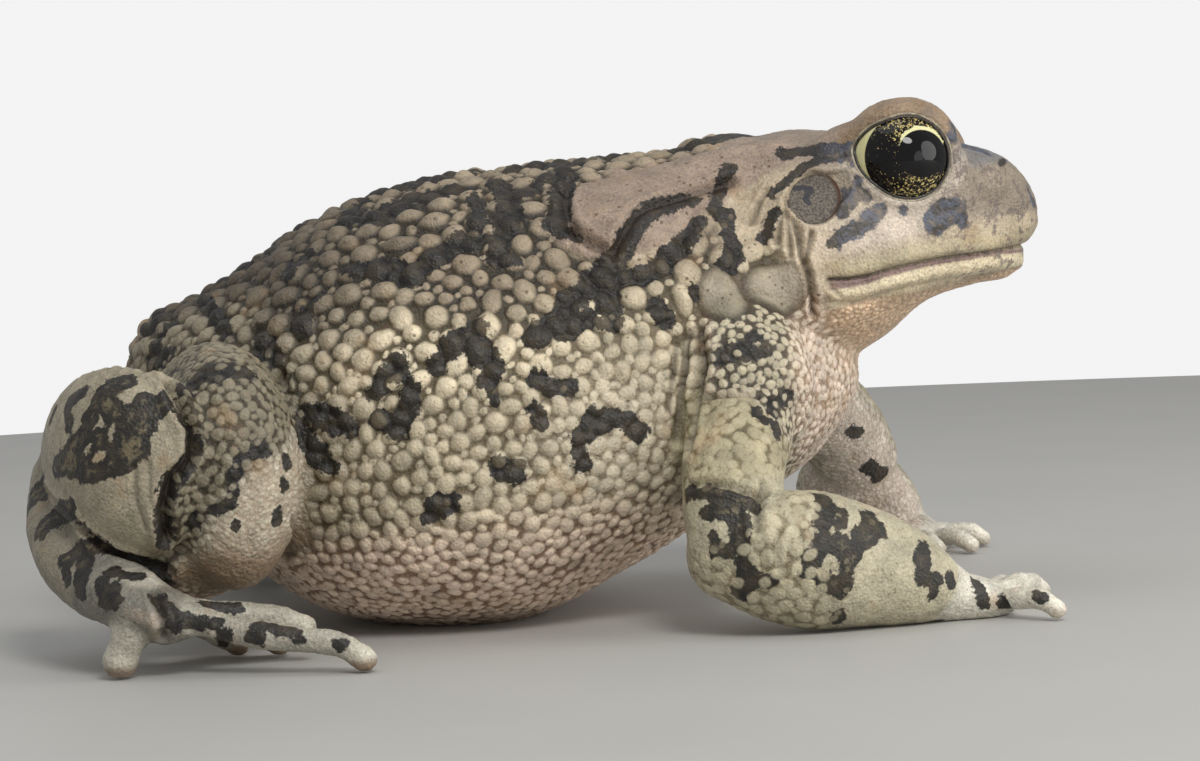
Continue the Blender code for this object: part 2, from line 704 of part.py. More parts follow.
def finish(name, obj):
    """The node's name, colour and shading."""
    obj.name = name
    slot = "skin"
    if name.startswith("eye"):
        slot = "eye"
    elif name.startswith("tympanum"):
        slot = "ear"
    elif name.startswith("parotoid"):
        slot = "gland"
    obj.data.materials.clear()
    obj.data.materials.append(material(slot))
    obj.data.shade_smooth()
    obj.data.set_sharp_from_angle(angle=SHARP_ANGLE)


def main():
    clear_scene()
    whole = fused_trunk()
    tree = skin_tree(whole)
    pieces = {}
    for side in ("right", "left"):
        pieces[f"eye_{side}"] = eyeball(side)
        pieces[f"tympanum_{side}"] = ear_disc(tree, side)
    for side in ("right", "left"):
        pieces.update(limbs(side))
        pieces[f"parotoid_{side}"] = parotoid(tree, side)
    covering = ("thigh", "upper_arm", "parotoid")
    taken = [box_of(obj) for name, obj in pieces.items() if name.startswith(covering)]

    neck_point, neck_normal = turned(NECK_POINT), turned_direction(NECK_NORMAL)
    mouth_point, mouth_normal = turned(MOUTH_POINT), turned_direction(MOUTH_NORMAL)
    half = GAP / 2
    torso = keep_side(copy_of(whole, "torso"), neck_point - neck_normal * half, neck_normal)
    front = keep_side(whole, neck_point + neck_normal * half, -neck_normal)
    thin_out(torso, TORSO_TRIANGLES)
    thin_out(front, HEAD_TRIANGLES)
    jaw = keep_side(copy_of(front, "jaw"), mouth_point - mouth_normal * half, mouth_normal)
    head = keep_side(front, mouth_point + mouth_normal * half, -mouth_normal)
    add_lips(head, jaw, tree)
    for side in ("right", "left"):
        nostril = turned(on_side(NOSTRIL, side))
        boolean(head, ellipsoid("nostril", nostril, NOSTRIL_RADII, NOSTRIL_FACES), "DIFFERENCE")
        open_lids(head, side)
    pieces["head"] = head
    pieces["lower_jaw"] = jaw
    pieces["torso"] = add_warts(torso, tree, taken)

    part_the_pieces(pieces)
    stand_on_floor(pieces)
    for name, obj in pieces.items():
        finish(name, obj)


main()
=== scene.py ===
"""The looks of a sitting raucous toad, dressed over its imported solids.

Sizes are in millimetres and are turned into metres as each mesh is made. +X points to the snout, +Z is
up and the toad's right side, which the photograph shows, is -Y.
"""

import math

import bmesh
import bpy
import numpy as np
from mathutils import Matrix, Vector
from mathutils.bvhtree import BVHTree
from mathutils.kdtree import KDTree


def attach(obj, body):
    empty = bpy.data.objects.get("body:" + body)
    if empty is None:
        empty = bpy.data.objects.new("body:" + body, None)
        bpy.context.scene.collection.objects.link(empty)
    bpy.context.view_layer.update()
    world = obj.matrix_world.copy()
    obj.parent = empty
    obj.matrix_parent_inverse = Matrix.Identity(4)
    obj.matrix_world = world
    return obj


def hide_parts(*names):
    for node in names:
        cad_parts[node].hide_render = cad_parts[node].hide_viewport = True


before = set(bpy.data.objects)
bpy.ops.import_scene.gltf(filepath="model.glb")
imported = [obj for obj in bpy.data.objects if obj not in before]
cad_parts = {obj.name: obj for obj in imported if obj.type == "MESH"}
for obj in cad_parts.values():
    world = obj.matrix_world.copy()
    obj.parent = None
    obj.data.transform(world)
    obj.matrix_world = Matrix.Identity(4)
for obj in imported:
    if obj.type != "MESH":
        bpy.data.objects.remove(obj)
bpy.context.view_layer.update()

MM = 0.001
SIDES = ("right", "left")

FORWARD = Vector((1, 0, 0))
UPWARD = Vector((0, 0, 1))

# The photograph's frame, and the camera solved from it. The roll lifts the right side of the picture.
PHOTO_WIDTH = 1200
PHOTO_HEIGHT = 761
CAMERA_PLACE = Vector((19.0, -340.0, 40.0))
CAMERA_PITCH = math.radians(2.66)
CAMERA_ROLL = math.radians(3.0)
CAMERA_LENS = 93.33
SENSOR_WIDTH = 36.0

# Strength of the white surround: as light on the toad, and as seen behind it.
SKY_LIGHT = 0.46
SKY_SEEN = 0.90
# The soft lights and the point they face, in metres: place, width, power in watts and colour.
LIGHTS_AIM = Vector((0.015, 0.0, 0.02))
LIGHTS = {
    "key": ((0.14, -0.42, 0.40), 0.20, 1.75, (1.0, 0.985, 0.95)),
    "front": ((0.40, -0.16, 0.12), 0.30, 0.75, (1.0, 0.99, 0.97)),
    "top": ((-0.12, 0.05, 0.62), 0.45, 0.5, (0.94, 0.97, 1.0)),
    "low": ((0.28, -0.34, 0.04), 0.20, 0.15, (1.0, 0.99, 0.97)),
}
FLOOR_RADIUS = 0.42

# Fineness: the voxels of the bare body and of the fused skin, how far it is smoothed, and each form's
# steps.
CORE_VOXEL = 0.8
SKIN_VOXEL = 0.42
SKIN_SMOOTHING = 9
FILLET_SMOOTHING = 30
LOFT_SIDES = 72
LOFT_RINGS = 80
TUBE_SIDES = 24
TUBE_RINGS = 20
DIGIT_SIDES = 16
DIGIT_RINGS = 16
CAP_RINGS = 5
BALL_RINGS = 24
EYE_SEGMENTS = 96
EYE_RINGS = 72
RIM_STEPS = 120
RIM_SIDES = 10
DRUM_RINGS = 22
DRUM_SEGMENTS = 56

# Stands for a distance that is too far to matter, and how far round a limb and a chain points are
# looked at.
FAR_OFF = 9.0
LIMB_REACH = 16.0
CHAIN_REACH = 5.0
# Room between the skin and the floor.
FLOOR_GAP = 0.03
DIGITS = ("finger", "toe")

# The trunk's cross-sections: x, back, height of the widest point, belly, half width.
TRUNK = (
    (-32.4, 27.8, 25.0, 22.8, 2.5),
    (-31.4, 31.2, 25.0, 19.5, 6.5),
    (-28.8, 33.8, 24.0, 15.0, 12.0),
    (-24.0, 35.7, 22.5, 10.4, 18.5),
    (-18.0, 39.0, 21.0, 5.6, 24.5),
    (-10.0, 43.8, 18.5, 0.9, 29.5),
    (0.0, 46.8, 18.0, -0.9, 32.0),
    (10.0, 47.7, 18.5, -0.6, 31.8),
    (20.0, 48.3, 20.0, 3.7, 29.0),
    (28.0, 48.8, 22.0, 8.0, 25.5),
    (36.0, 50.3, 24.0, 11.4, 21.5),
    (41.5, 46.5, 24.5, 15.0, 17.0),
    (45.2, 36.0, 24.5, 19.2, 11.0),
    (46.9, 28.5, 24.5, 22.4, 4.5),
)
TRUNK_BACK_POWER = 2.25
TRUNK_BELLY_POWER = 2.5

# The head before it turns: x, crown, lip line, throat, half width.
HEAD = (
    (33.0, 48.8, 37.0, 25.0, 15.5),
    (40.0, 50.4, 36.0, 24.0, 19.0),
    (44.0, 50.2, 35.6, 24.4, 18.8),
    (50.0, 49.3, 36.0, 27.4, 17.2),
    (55.0, 48.7, 36.3, 31.1, 14.8),
    (60.0, 47.9, 36.8, 32.75, 11.6),
    (64.0, 46.2, 37.3, 33.15, 8.0),
    (66.3, 43.6, 38.2, 34.5, 4.8),
    (67.3, 41.2, 39.6, 38.2, 1.8),
)
HEAD_CROWN_POWER = 2.3
HEAD_THROAT_POWER = 2.2
HEAD_TURN = math.radians(-8.0)
HEAD_PIVOT = Vector((38.0, 0.0, 38.0))

# The eye, the ear, the nostril and the mouth, on the head before it turns; y is for the left side.
EYE_CENTRE = Vector((53.5, 11.8, 46.4))
EYE_RADIUS = 5.4
LID_RADIUS = 6.45
EYE_AXIS = Vector((0.10, 1.0, 0.04)).normalized()
EAR_PLACE = (44.5, 42.7)
EAR_RADIUS = 2.75
DRUM_DEPTH = 0.9
CORNEA_BULGE = 0.28
NOSTRIL_PIXEL = (1001.5, 163.0)
NOSTRIL_RADII = (0.48, 0.36)
NOSTRIL_LEAN = 60.0
NOSTRIL_DEPTH = 1.0
# The dark swirl on the ear drum, from its middle: forward, up, half width.
EAR_SWIRL = ((-2.0, 1.35, 0.28), (-1.1, 1.3, 0.30), (-0.35, 0.9, 0.42), (-0.85, 0.2, 0.36),
             (-0.5, -0.5, 0.24))
NECK_POINT = Vector((41.7, 0.0, 38.0))
NECK_NORMAL = Vector((0.916, 0.0, 0.400))
MOUTH_POINT = Vector((55.0, 0.0, 34.9))
MOUTH_NORMAL = Vector((-0.139, 0.0, 0.990))
MOUTH_CORNER = 45.6
MOUTH_BOW = ((44.0, 45.8, 47.9, 50.0, 51.4, 53.4, 55.6, 57.8, 60.0, 62.2, 64.4, 65.6),
             (0.9, 0.6, 0.22, 0.18, 0.38, 0.50, 0.50, 0.44, 0.32, 0.18, -0.04, -0.20))
LOWER_LIP = 2.3

# The opening between the lids, as seen along the eye's axis: angle from the front, reach from the centre.
LID_OUTLINE = ((0, 4.8), (45, 4.5), (75, 4.3), (110, 4.1), (140, 4.6), (165, 5.08), (185, 4.8), (224, 4.15),
               (262, 4.3), (292, 4.62), (320, 4.78))
LID_ROLL = 1.1
LID_GAP = 0.12

# The iris and the pupil, ahead of and above the middle of the eye: place and radius.
IRIS = (0.45, -0.05, 4.41)
PUPIL = (1.85, 0.12, 2.5)

# Fuller places of the skin than the lofts give: centre on the unturned head, radii.
HEAD_SWELLINGS = (
    ((52.5, 10.4, 43.2), (9.0, 6.2, 6.6)),
    ((47.0, 10.2, 44.6), (8.0, 6.2, 4.4)),
    ((58.0, 6.8, 43.4), (6.5, 4.8, 4.0)),
    ((61.3, 3.6, 41.6), (5.4, 5.0, 4.8)),
    ((48.4, 11.0, 47.4), (4.6, 4.0, 3.3)),
)
# The same for the body, by side: centre, with y as a distance from the mid plane, and radii.
BODY_SWELLINGS = {
    "right": (
        ((-28.0, 35.0, 12.8), (5.6, 4.8, 4.2)), ((33.0, 21.0, 24.0), (8.0, 7.0, 9.0)),
        ((-19.0, 30.0, 16.0), (7.0, 9.0, 9.0)), ((34.0, 0.0, 40.0), (11.0, 12.0, 10.5)),
        ((-22.5, 31.5, 12.2), (7.5, 7.5, 6.2)), ((-23.4, 44.0, 4.3), (2.8, 1.7, 1.1)),
    ),
    "left": (
        ((-27.0, 35.6, 12.6), (5.6, 4.8, 4.2)), ((36.5, 20.5, 24.0), (8.0, 7.0, 9.0)),
        ((-18.0, 30.0, 16.0), (7.0, 9.0, 9.0)), ((-21.5, 31.5, 12.0), (7.5, 7.5, 6.2)),
    ),
}

# The parotoid gland behind the eye, laid along the skin: x, z, half width, half depth. Then how far it
# stands out, and how far off the skin is looked for from the side or from above.
PAROTOID = (
    (19.6, 41.4, 5.0, 2.4),
    (23.0, 42.8, 6.0, 3.0),
    (27.5, 44.8, 5.0, 3.0),
    (33.0, 46.6, 3.6, 2.6),
    (38.5, 47.8, 2.4, 2.0),
)
PAROTOID_RISE = 1.55
LOOK_FROM = 80.0

# Limbs of each side as rows: x, distance from the mid plane, z, half width, half height.
ARM = {
    "right": {
        "upper_arm": ((35.0, 16.0, 24.5, 5.6, 5.6), (33.4, 23.5, 20.8, 5.6, 5.4),
                      (31.9, 30.0, 16.0, 5.1, 5.2), (31.4, 34.0, 11.5, 4.8, 5.0)),
        "forearm": ((31.2, 35.0, 8.7, 4.7, 5.4), (35.0, 35.5, 7.8, 5.6, 6.5), (39.5, 35.0, 6.9, 5.8, 6.9),
                    (44.0, 34.0, 5.9, 5.2, 6.1), (48.5, 32.8, 4.5, 4.3, 4.9), (52.0, 31.4, 2.8, 3.4, 3.0)),
        "hand": ((52.5, 31.2, 2.4, 3.2, 2.6), (55.6, 29.8, 1.8, 3.8, 2.1), (57.8, 28.8, 1.4, 3.1, 1.6)),
        "fingers": (((54.6, 28.7, 1.5), (54.2, 24.2, 1.9), (54.6, 20.6, 1.1)),
                    ((56.6, 27.7, 1.5), (58.8, 22.4, 2.1), (60.2, 18.2, 1.1)),
                    ((57.4, 28.0, 1.6), (60.4, 24.2, 2.3), (62.3, 21.2, 2.0), (63.3, 19.6, 1.1)),
                    ((57.2, 30.8, 1.7), (59.2, 33.4, 2.0), (61.2, 35.8, 2.1), (62.6, 36.4, 1.1))),
    },
    "left": {
        "upper_arm": ((37.0, 15.0, 24.5, 5.8, 5.6), (42.0, 23.0, 21.2, 5.6, 5.6),
                      (46.6, 30.5, 16.4, 5.2, 5.4), (49.4, 35.4, 11.8, 4.8, 5.2)),
        "forearm": ((46.8, 38.2, 7.6, 4.6, 5.5), (49.2, 38.8, 7.0, 5.2, 6.2), (51.4, 38.4, 6.2, 5.0, 5.6),
                    (53.4, 37.4, 4.6, 4.2, 4.5), (54.8, 36.2, 2.8, 3.4, 3.0)),
        "hand": ((55.3, 35.8, 2.4, 3.2, 2.6), (57.4, 35.0, 1.8, 3.8, 2.1), (58.8, 34.6, 1.4, 3.1, 1.6)),
        "fingers": (((56.6, 33.4, 1.5), (57.0, 29.4, 1.9), (57.8, 26.4, 1.1)),
                    ((58.0, 33.6, 1.5), (60.4, 30.4, 2.0), (62.0, 28.0, 1.1)),
                    ((58.4, 34.8, 1.6), (61.0, 35.0, 2.2), (63.0, 35.2, 2.0), (64.2, 35.3, 1.1)),
                    ((58.0, 36.0, 1.6), (59.8, 39.0, 1.9), (61.0, 41.6, 1.1))),
    },
}
LEG = {
    "right": {
        "thigh": ((-22.0, 12.0, 21.5, 6.0, 8.0), (-21.0, 20.0, 20.8, 7.2, 10.4),
                  (-18.8, 29.5, 19.3, 7.2, 11.7), (-17.6, 36.6, 18.6, 6.6, 11.6)),
        "shank": ((-23.2, 40.4, 19.4, 4.2, 8.2), (-27.0, 38.6, 20.6, 5.1, 9.1),
                  (-30.6, 33.4, 20.8, 5.0, 8.6), (-33.2, 27.0, 20.4, 4.4, 6.7),
                  (-35.0, 21.6, 19.6, 3.7, 5.4)),
        "tarsus": ((-36.4, 21.6, 17.8, 3.5, 3.9), (-36.4, 26.0, 14.0, 3.4, 3.6),
                   (-34.2, 32.6, 10.6, 3.4, 3.5), (-30.2, 38.4, 8.3, 3.5, 3.4)),
        "foot": ((-29.0, 40.0, 7.9, 3.5, 3.2), (-26.0, 42.0, 6.8, 4.0, 2.8), (-23.0, 43.0, 5.7, 4.0, 2.3)),
        "toes": (((-23.6, 40.2, 5.8), (-20.8, 35.6, 3.4), (-18.4, 31.6, 1.2)),
                 ((-22.0, 41.0, 5.6), (-17.6, 36.4, 3.6), (-14.0, 33.6, 1.3)),
                 ((-21.4, 41.6, 6.0), (-17.4, 40.4, 5.3), (-13.4, 39.0, 4.5), (-11.0, 38.4, 3.4)),
                 ((-21.4, 43.6, 5.6), (-16.4, 45.0, 4.2), (-11.0, 46.4, 3.3), (-7.0, 47.2, 2.8),
                  (-4.6, 47.8, 1.3)),
                 ((-26.0, 41.8, 8.2), (-26.8, 43.6, 5.2), (-28.3, 43.4, 1.8))),
    },
    "left": {
        "thigh": ((-22.0, 12.0, 21.5, 6.0, 8.0), (-20.4, 20.0, 20.6, 7.2, 10.4),
                  (-17.8, 29.5, 19.1, 7.2, 11.7), (-16.2, 36.2, 18.4, 6.6, 11.6)),
        "shank": ((-22.0, 40.0, 19.2, 4.2, 8.2), (-25.8, 38.6, 20.4, 5.1, 9.1),
                  (-29.6, 33.8, 20.6, 5.0, 8.8), (-32.6, 27.6, 20.2, 4.4, 7.2),
                  (-34.6, 22.2, 19.4, 3.7, 5.4)),
        "tarsus": ((-36.0, 22.4, 17.6, 3.5, 3.9), (-35.8, 26.8, 13.8, 3.4, 3.6),
                   (-33.4, 33.4, 10.4, 3.4, 3.5), (-29.1, 39.0, 8.1, 3.5, 3.4)),
        "foot": ((-27.9, 40.6, 7.7, 3.5, 3.2), (-24.9, 42.5, 6.6, 4.0, 2.8), (-21.9, 43.4, 5.5, 4.0, 2.3)),
        "toes": (((-22.5, 40.6, 5.6), (-19.6, 36.2, 3.2), (-17.2, 32.4, 1.2)),
                 ((-20.9, 41.4, 5.4), (-16.4, 37.6, 3.4), (-12.8, 35.0, 1.3)),
                 ((-20.3, 42.0, 5.6), (-15.8, 41.6, 4.6), (-11.8, 40.8, 3.6), (-9.2, 40.2, 1.2)),
                 ((-20.3, 44.0, 5.4), (-15.4, 46.4, 4.0), (-10.2, 48.8, 3.1), (-6.6, 50.4, 2.6),
                  (-4.4, 51.4, 1.3)),
                 ((-23.8, 44.4, 5.8), (-24.0, 47.4, 4.0), (-24.0, 50.0, 1.8))),
    },
}
FINGER_RADIUS = 1.1
TOE_RADII = (1.25, 1.3, 1.35, 1.5, 1.95)
TOE_TAPERS = (0.0, 0.0, 0.0, 0.1, 0.06)
KNUCKLES = (1.08, 1.02, 0.95, 1.04, 0.97, 0.92, 1.0, 0.90, 0.90, 0.98)

# Warts: the sizes they are drawn in, largest first, how close they pack, the share of places taken by those
# above the sparse size, and how much their outlines wander.
WART_SEED = 7
WART_SIZES = (2.3, 2.0, 1.75, 1.5, 1.3, 1.12, 0.96, 0.82, 0.7, 0.6, 0.5, 0.42, 0.35)
WART_PACKING = 0.80
WART_SHARE = 0.8
SPARSE_SIZE = 0.65
WART_WOBBLE = 0.17
# How far warts and, above this size, glands rise for their width, and the least rise of either.
WART_FULLNESS = 0.95
GLAND_FULLNESS = 0.75
GLAND_SIZE = 2.4
LEAST_LIFT = 0.3
# Warts wider than this are a little duller.
DULL_SIZE = 2.2
# How deep the skin between the warts lies, and how dark the painted shade in the hollows of the folds is.
GAP_DEPTH = 0.4
FOLD_SHADE = 0.62
# How far the dark marks outgrow their chains, how much they follow whole warts, and how they drift on
# the far side.
MARK_GROWTH = 0.40
MARK_FOLLOWS_WART = 0.3
FAR_SIDE_DRIFT = (3.2, 1.0, 2.6)

# Each zone of the skin: largest wart, smallest wart, height to radius, how far a wart spreads over its
# share, colour of the warts, colour between them.
ZONES = {
    "flank": (1.3, 0.35, 0.70, 1.18, (0.69, 0.60, 0.435), (0.11, 0.088, 0.05)),
    "low_flank": (1.05, 0.35, 0.62, 1.22, (0.45, 0.39, 0.28), (0.14, 0.11, 0.065)),
    "pale_side": (0.82, 0.35, 0.40, 1.2, (0.56, 0.495, 0.375), (0.33, 0.275, 0.19)),
    "back": (1.6, 0.42, 0.58, 1.12, (0.30, 0.243, 0.172), (0.025, 0.020, 0.013)),
    "belly": (0.72, 0.42, 0.44, 1.25, (0.70, 0.555, 0.44), (0.30, 0.195, 0.13)),
    "chest": (0.55, 0.35, 0.38, 1.2, (0.62, 0.515, 0.42), (0.40, 0.295, 0.21)),
    "shoulder": (0.58, 0.35, 0.46, 1.15, (0.44, 0.39, 0.28), (0.06, 0.05, 0.034)),
    "throat": (0.35, 0.42, 0.0, 1.0, (0.93, 0.71, 0.49), (0.78, 0.57, 0.385)),
    "head": (0.35, 0.42, 0.10, 1.0, (0.46, 0.38, 0.27), (0.34, 0.26, 0.18)),
    "gland": (0.35, 0.42, 0.0, 1.0, (0.31, 0.235, 0.18), (0.27, 0.20, 0.14)),
    "upper_arm": (0.72, 0.42, 0.19, 1.42, (0.38, 0.335, 0.22), (0.19, 0.16, 0.09)),
    "elbow": (0.80, 0.42, 0.17, 1.34, (0.43, 0.385, 0.27), (0.24, 0.205, 0.13)),
    "forearm": (0.35, 0.42, 0.05, 1.2, (0.43, 0.39, 0.28), (0.34, 0.30, 0.21)),
    "hand": (0.35, 0.42, 0.05, 1.0, (0.60, 0.57, 0.485), (0.46, 0.43, 0.36)),
    # The arms' inner faces: paler skin, with painted light that brightens the far arm's shaded face.
    "inner_limb_pale_and_painted_light": (0.35, 0.42, 0.05, 1.0, (0.88, 0.79, 0.70), (0.72, 0.63, 0.54)),
    "thigh": (0.62, 0.35, 0.42, 1.2, (0.20, 0.175, 0.122), (0.036, 0.029, 0.017)),
    # The thigh's front: cream skin with a painted highlight, and below it brownish-pink skin with painted
    # shade on the underside.
    "low_thigh_cream_and_highlight": (0.35, 0.42, 0.0, 1.0, (0.68, 0.63, 0.51), (0.48, 0.43, 0.33)),
    "under_thigh_brown_and_shade": (0.35, 0.42, 0.0, 1.0, (0.36, 0.28, 0.195), (0.24, 0.18, 0.12)),
    "shank": (0.35, 0.42, 0.05, 1.0, (0.325, 0.287, 0.208), (0.23, 0.19, 0.125)),
    "tarsus": (0.35, 0.42, 0.05, 1.0, (0.24, 0.215, 0.158), (0.16, 0.138, 0.094)),
    "foot": (0.35, 0.42, 0.05, 1.0, (0.185, 0.174, 0.145), (0.135, 0.122, 0.096)),
    "toe": (0.35, 0.42, 0.05, 1.0, (0.35, 0.33, 0.272), (0.24, 0.224, 0.178)),
}

# The zones whose skin is fine-grained.
SMOOTH_ZONES = ("head", "gland", "forearm", "hand", "shank", "tarsus", "foot", "toe")

# Where the arm's own skin starts under the shoulder: height, and how it falls away ahead of a bend.
ARM_TOP = 23.5
ARM_TOP_BEND = 34.0
ARM_TOP_SLOPE = 1.3
# Where the thigh ends in front, against the flank.
THIGH_FRONT = -10.6
# The border between the knee and the thigh: heights, and x at each.
KNEE_LINE = ((13.0, 16.1, 18.4, 20.0, 21.5, 23.4, 25.4), (-23.4, -23.3, -22.7, -21.0, -20.0, -20.1, -21.3))

# The face's own colours, and the snout top's darker colour with a painted bluish sheen of the sky.
CROWN_COLOUR = (0.29, 0.225, 0.175)
SNOUT_COLOUR = (0.255, 0.21, 0.158)
CHEEK_COLOUR = (0.62, 0.53, 0.445)
SNOUT_TOP_DARK_AND_SHEEN = (0.15, 0.165, 0.185)
LID_COLOUR = (0.28, 0.198, 0.128)
LOWER_LID_COLOUR = (0.50, 0.43, 0.36)
LIP_COLOUR = (0.42, 0.36, 0.235)
INNER_LIP_COLOUR = (0.24, 0.16, 0.145)
LOWER_LIP_COLOUR = (0.68, 0.585, 0.405)

# Colours that the skin's material lays over the zones' own: mottling, stains, pores, freckles, the fine
# net, the painted shade of the hollows, tips of the digits and the gaps between the throat's beads.
MOTTLE_COLOUR = (0.15, 0.12, 0.105)
STAIN_COLOUR = (0.36, 0.22, 0.10)
PORE_COLOUR = (0.10, 0.07, 0.04)
FRECKLE_COLOUR = (0.13, 0.095, 0.055)
NET_COLOUR = (0.07, 0.05, 0.03)
PAINTED_SHADE_COLOUR = (0.030, 0.020, 0.015)
TIP_COLOUR = (0.16, 0.085, 0.04)
BEAD_GAP_COLOUR = (0.28, 0.18, 0.12)
# The dark marks' colours, on the body and on the face, where the blue is a painted sheen of the sky.
MARK_BLACK = (0.011, 0.010, 0.010)
MARK_BROWN = (0.034, 0.027, 0.018)
MARK_INSIDE = (0.135, 0.11, 0.065)
MARK_WART = (0.12, 0.095, 0.06)
FACE_MARK_BLACK = (0.022, 0.023, 0.027)
FACE_MARK_SKY_SHEEN = (0.070, 0.088, 0.135)
FACE_MARK_BROWN = (0.145, 0.12, 0.105)
# The eye, its lids' pale rims and the dark line of painted shade inside them, the ear drum and the floor.
IRIS_COLOUR = (0.004, 0.0035, 0.004)
FLECK_COLOUR = (0.62, 0.50, 0.20)
PUPIL_RIM_COLOUR = (0.66, 0.64, 0.36)
SCLERA_COLOURS = ((0.60, 0.57, 0.29), (0.68, 0.64, 0.37))
LID_RIM_COLOURS = ((0.46, 0.41, 0.30), (0.17, 0.14, 0.105))
LID_SHADE_LINE_COLOURS = ((0.05, 0.045, 0.04), (0.02, 0.018, 0.016))
DRUM_COLOURS = ((0.055, 0.048, 0.045), (0.185, 0.158, 0.128))
SWIRL_COLOUR = (0.030, 0.033, 0.042)
DRUM_EDGE_COLOUR = (0.06, 0.045, 0.035)
DRUM_FRONT_COLOUR = (0.065, 0.032, 0.02)
FLOOR_COLOURS = ((0.41, 0.41, 0.395), (0.47, 0.46, 0.44))

# The colour mixer's two colours and its result, by their places among its sockets.
MIX_FIRST = 6
MIX_SECOND = 7
MIX_RESULT = 2

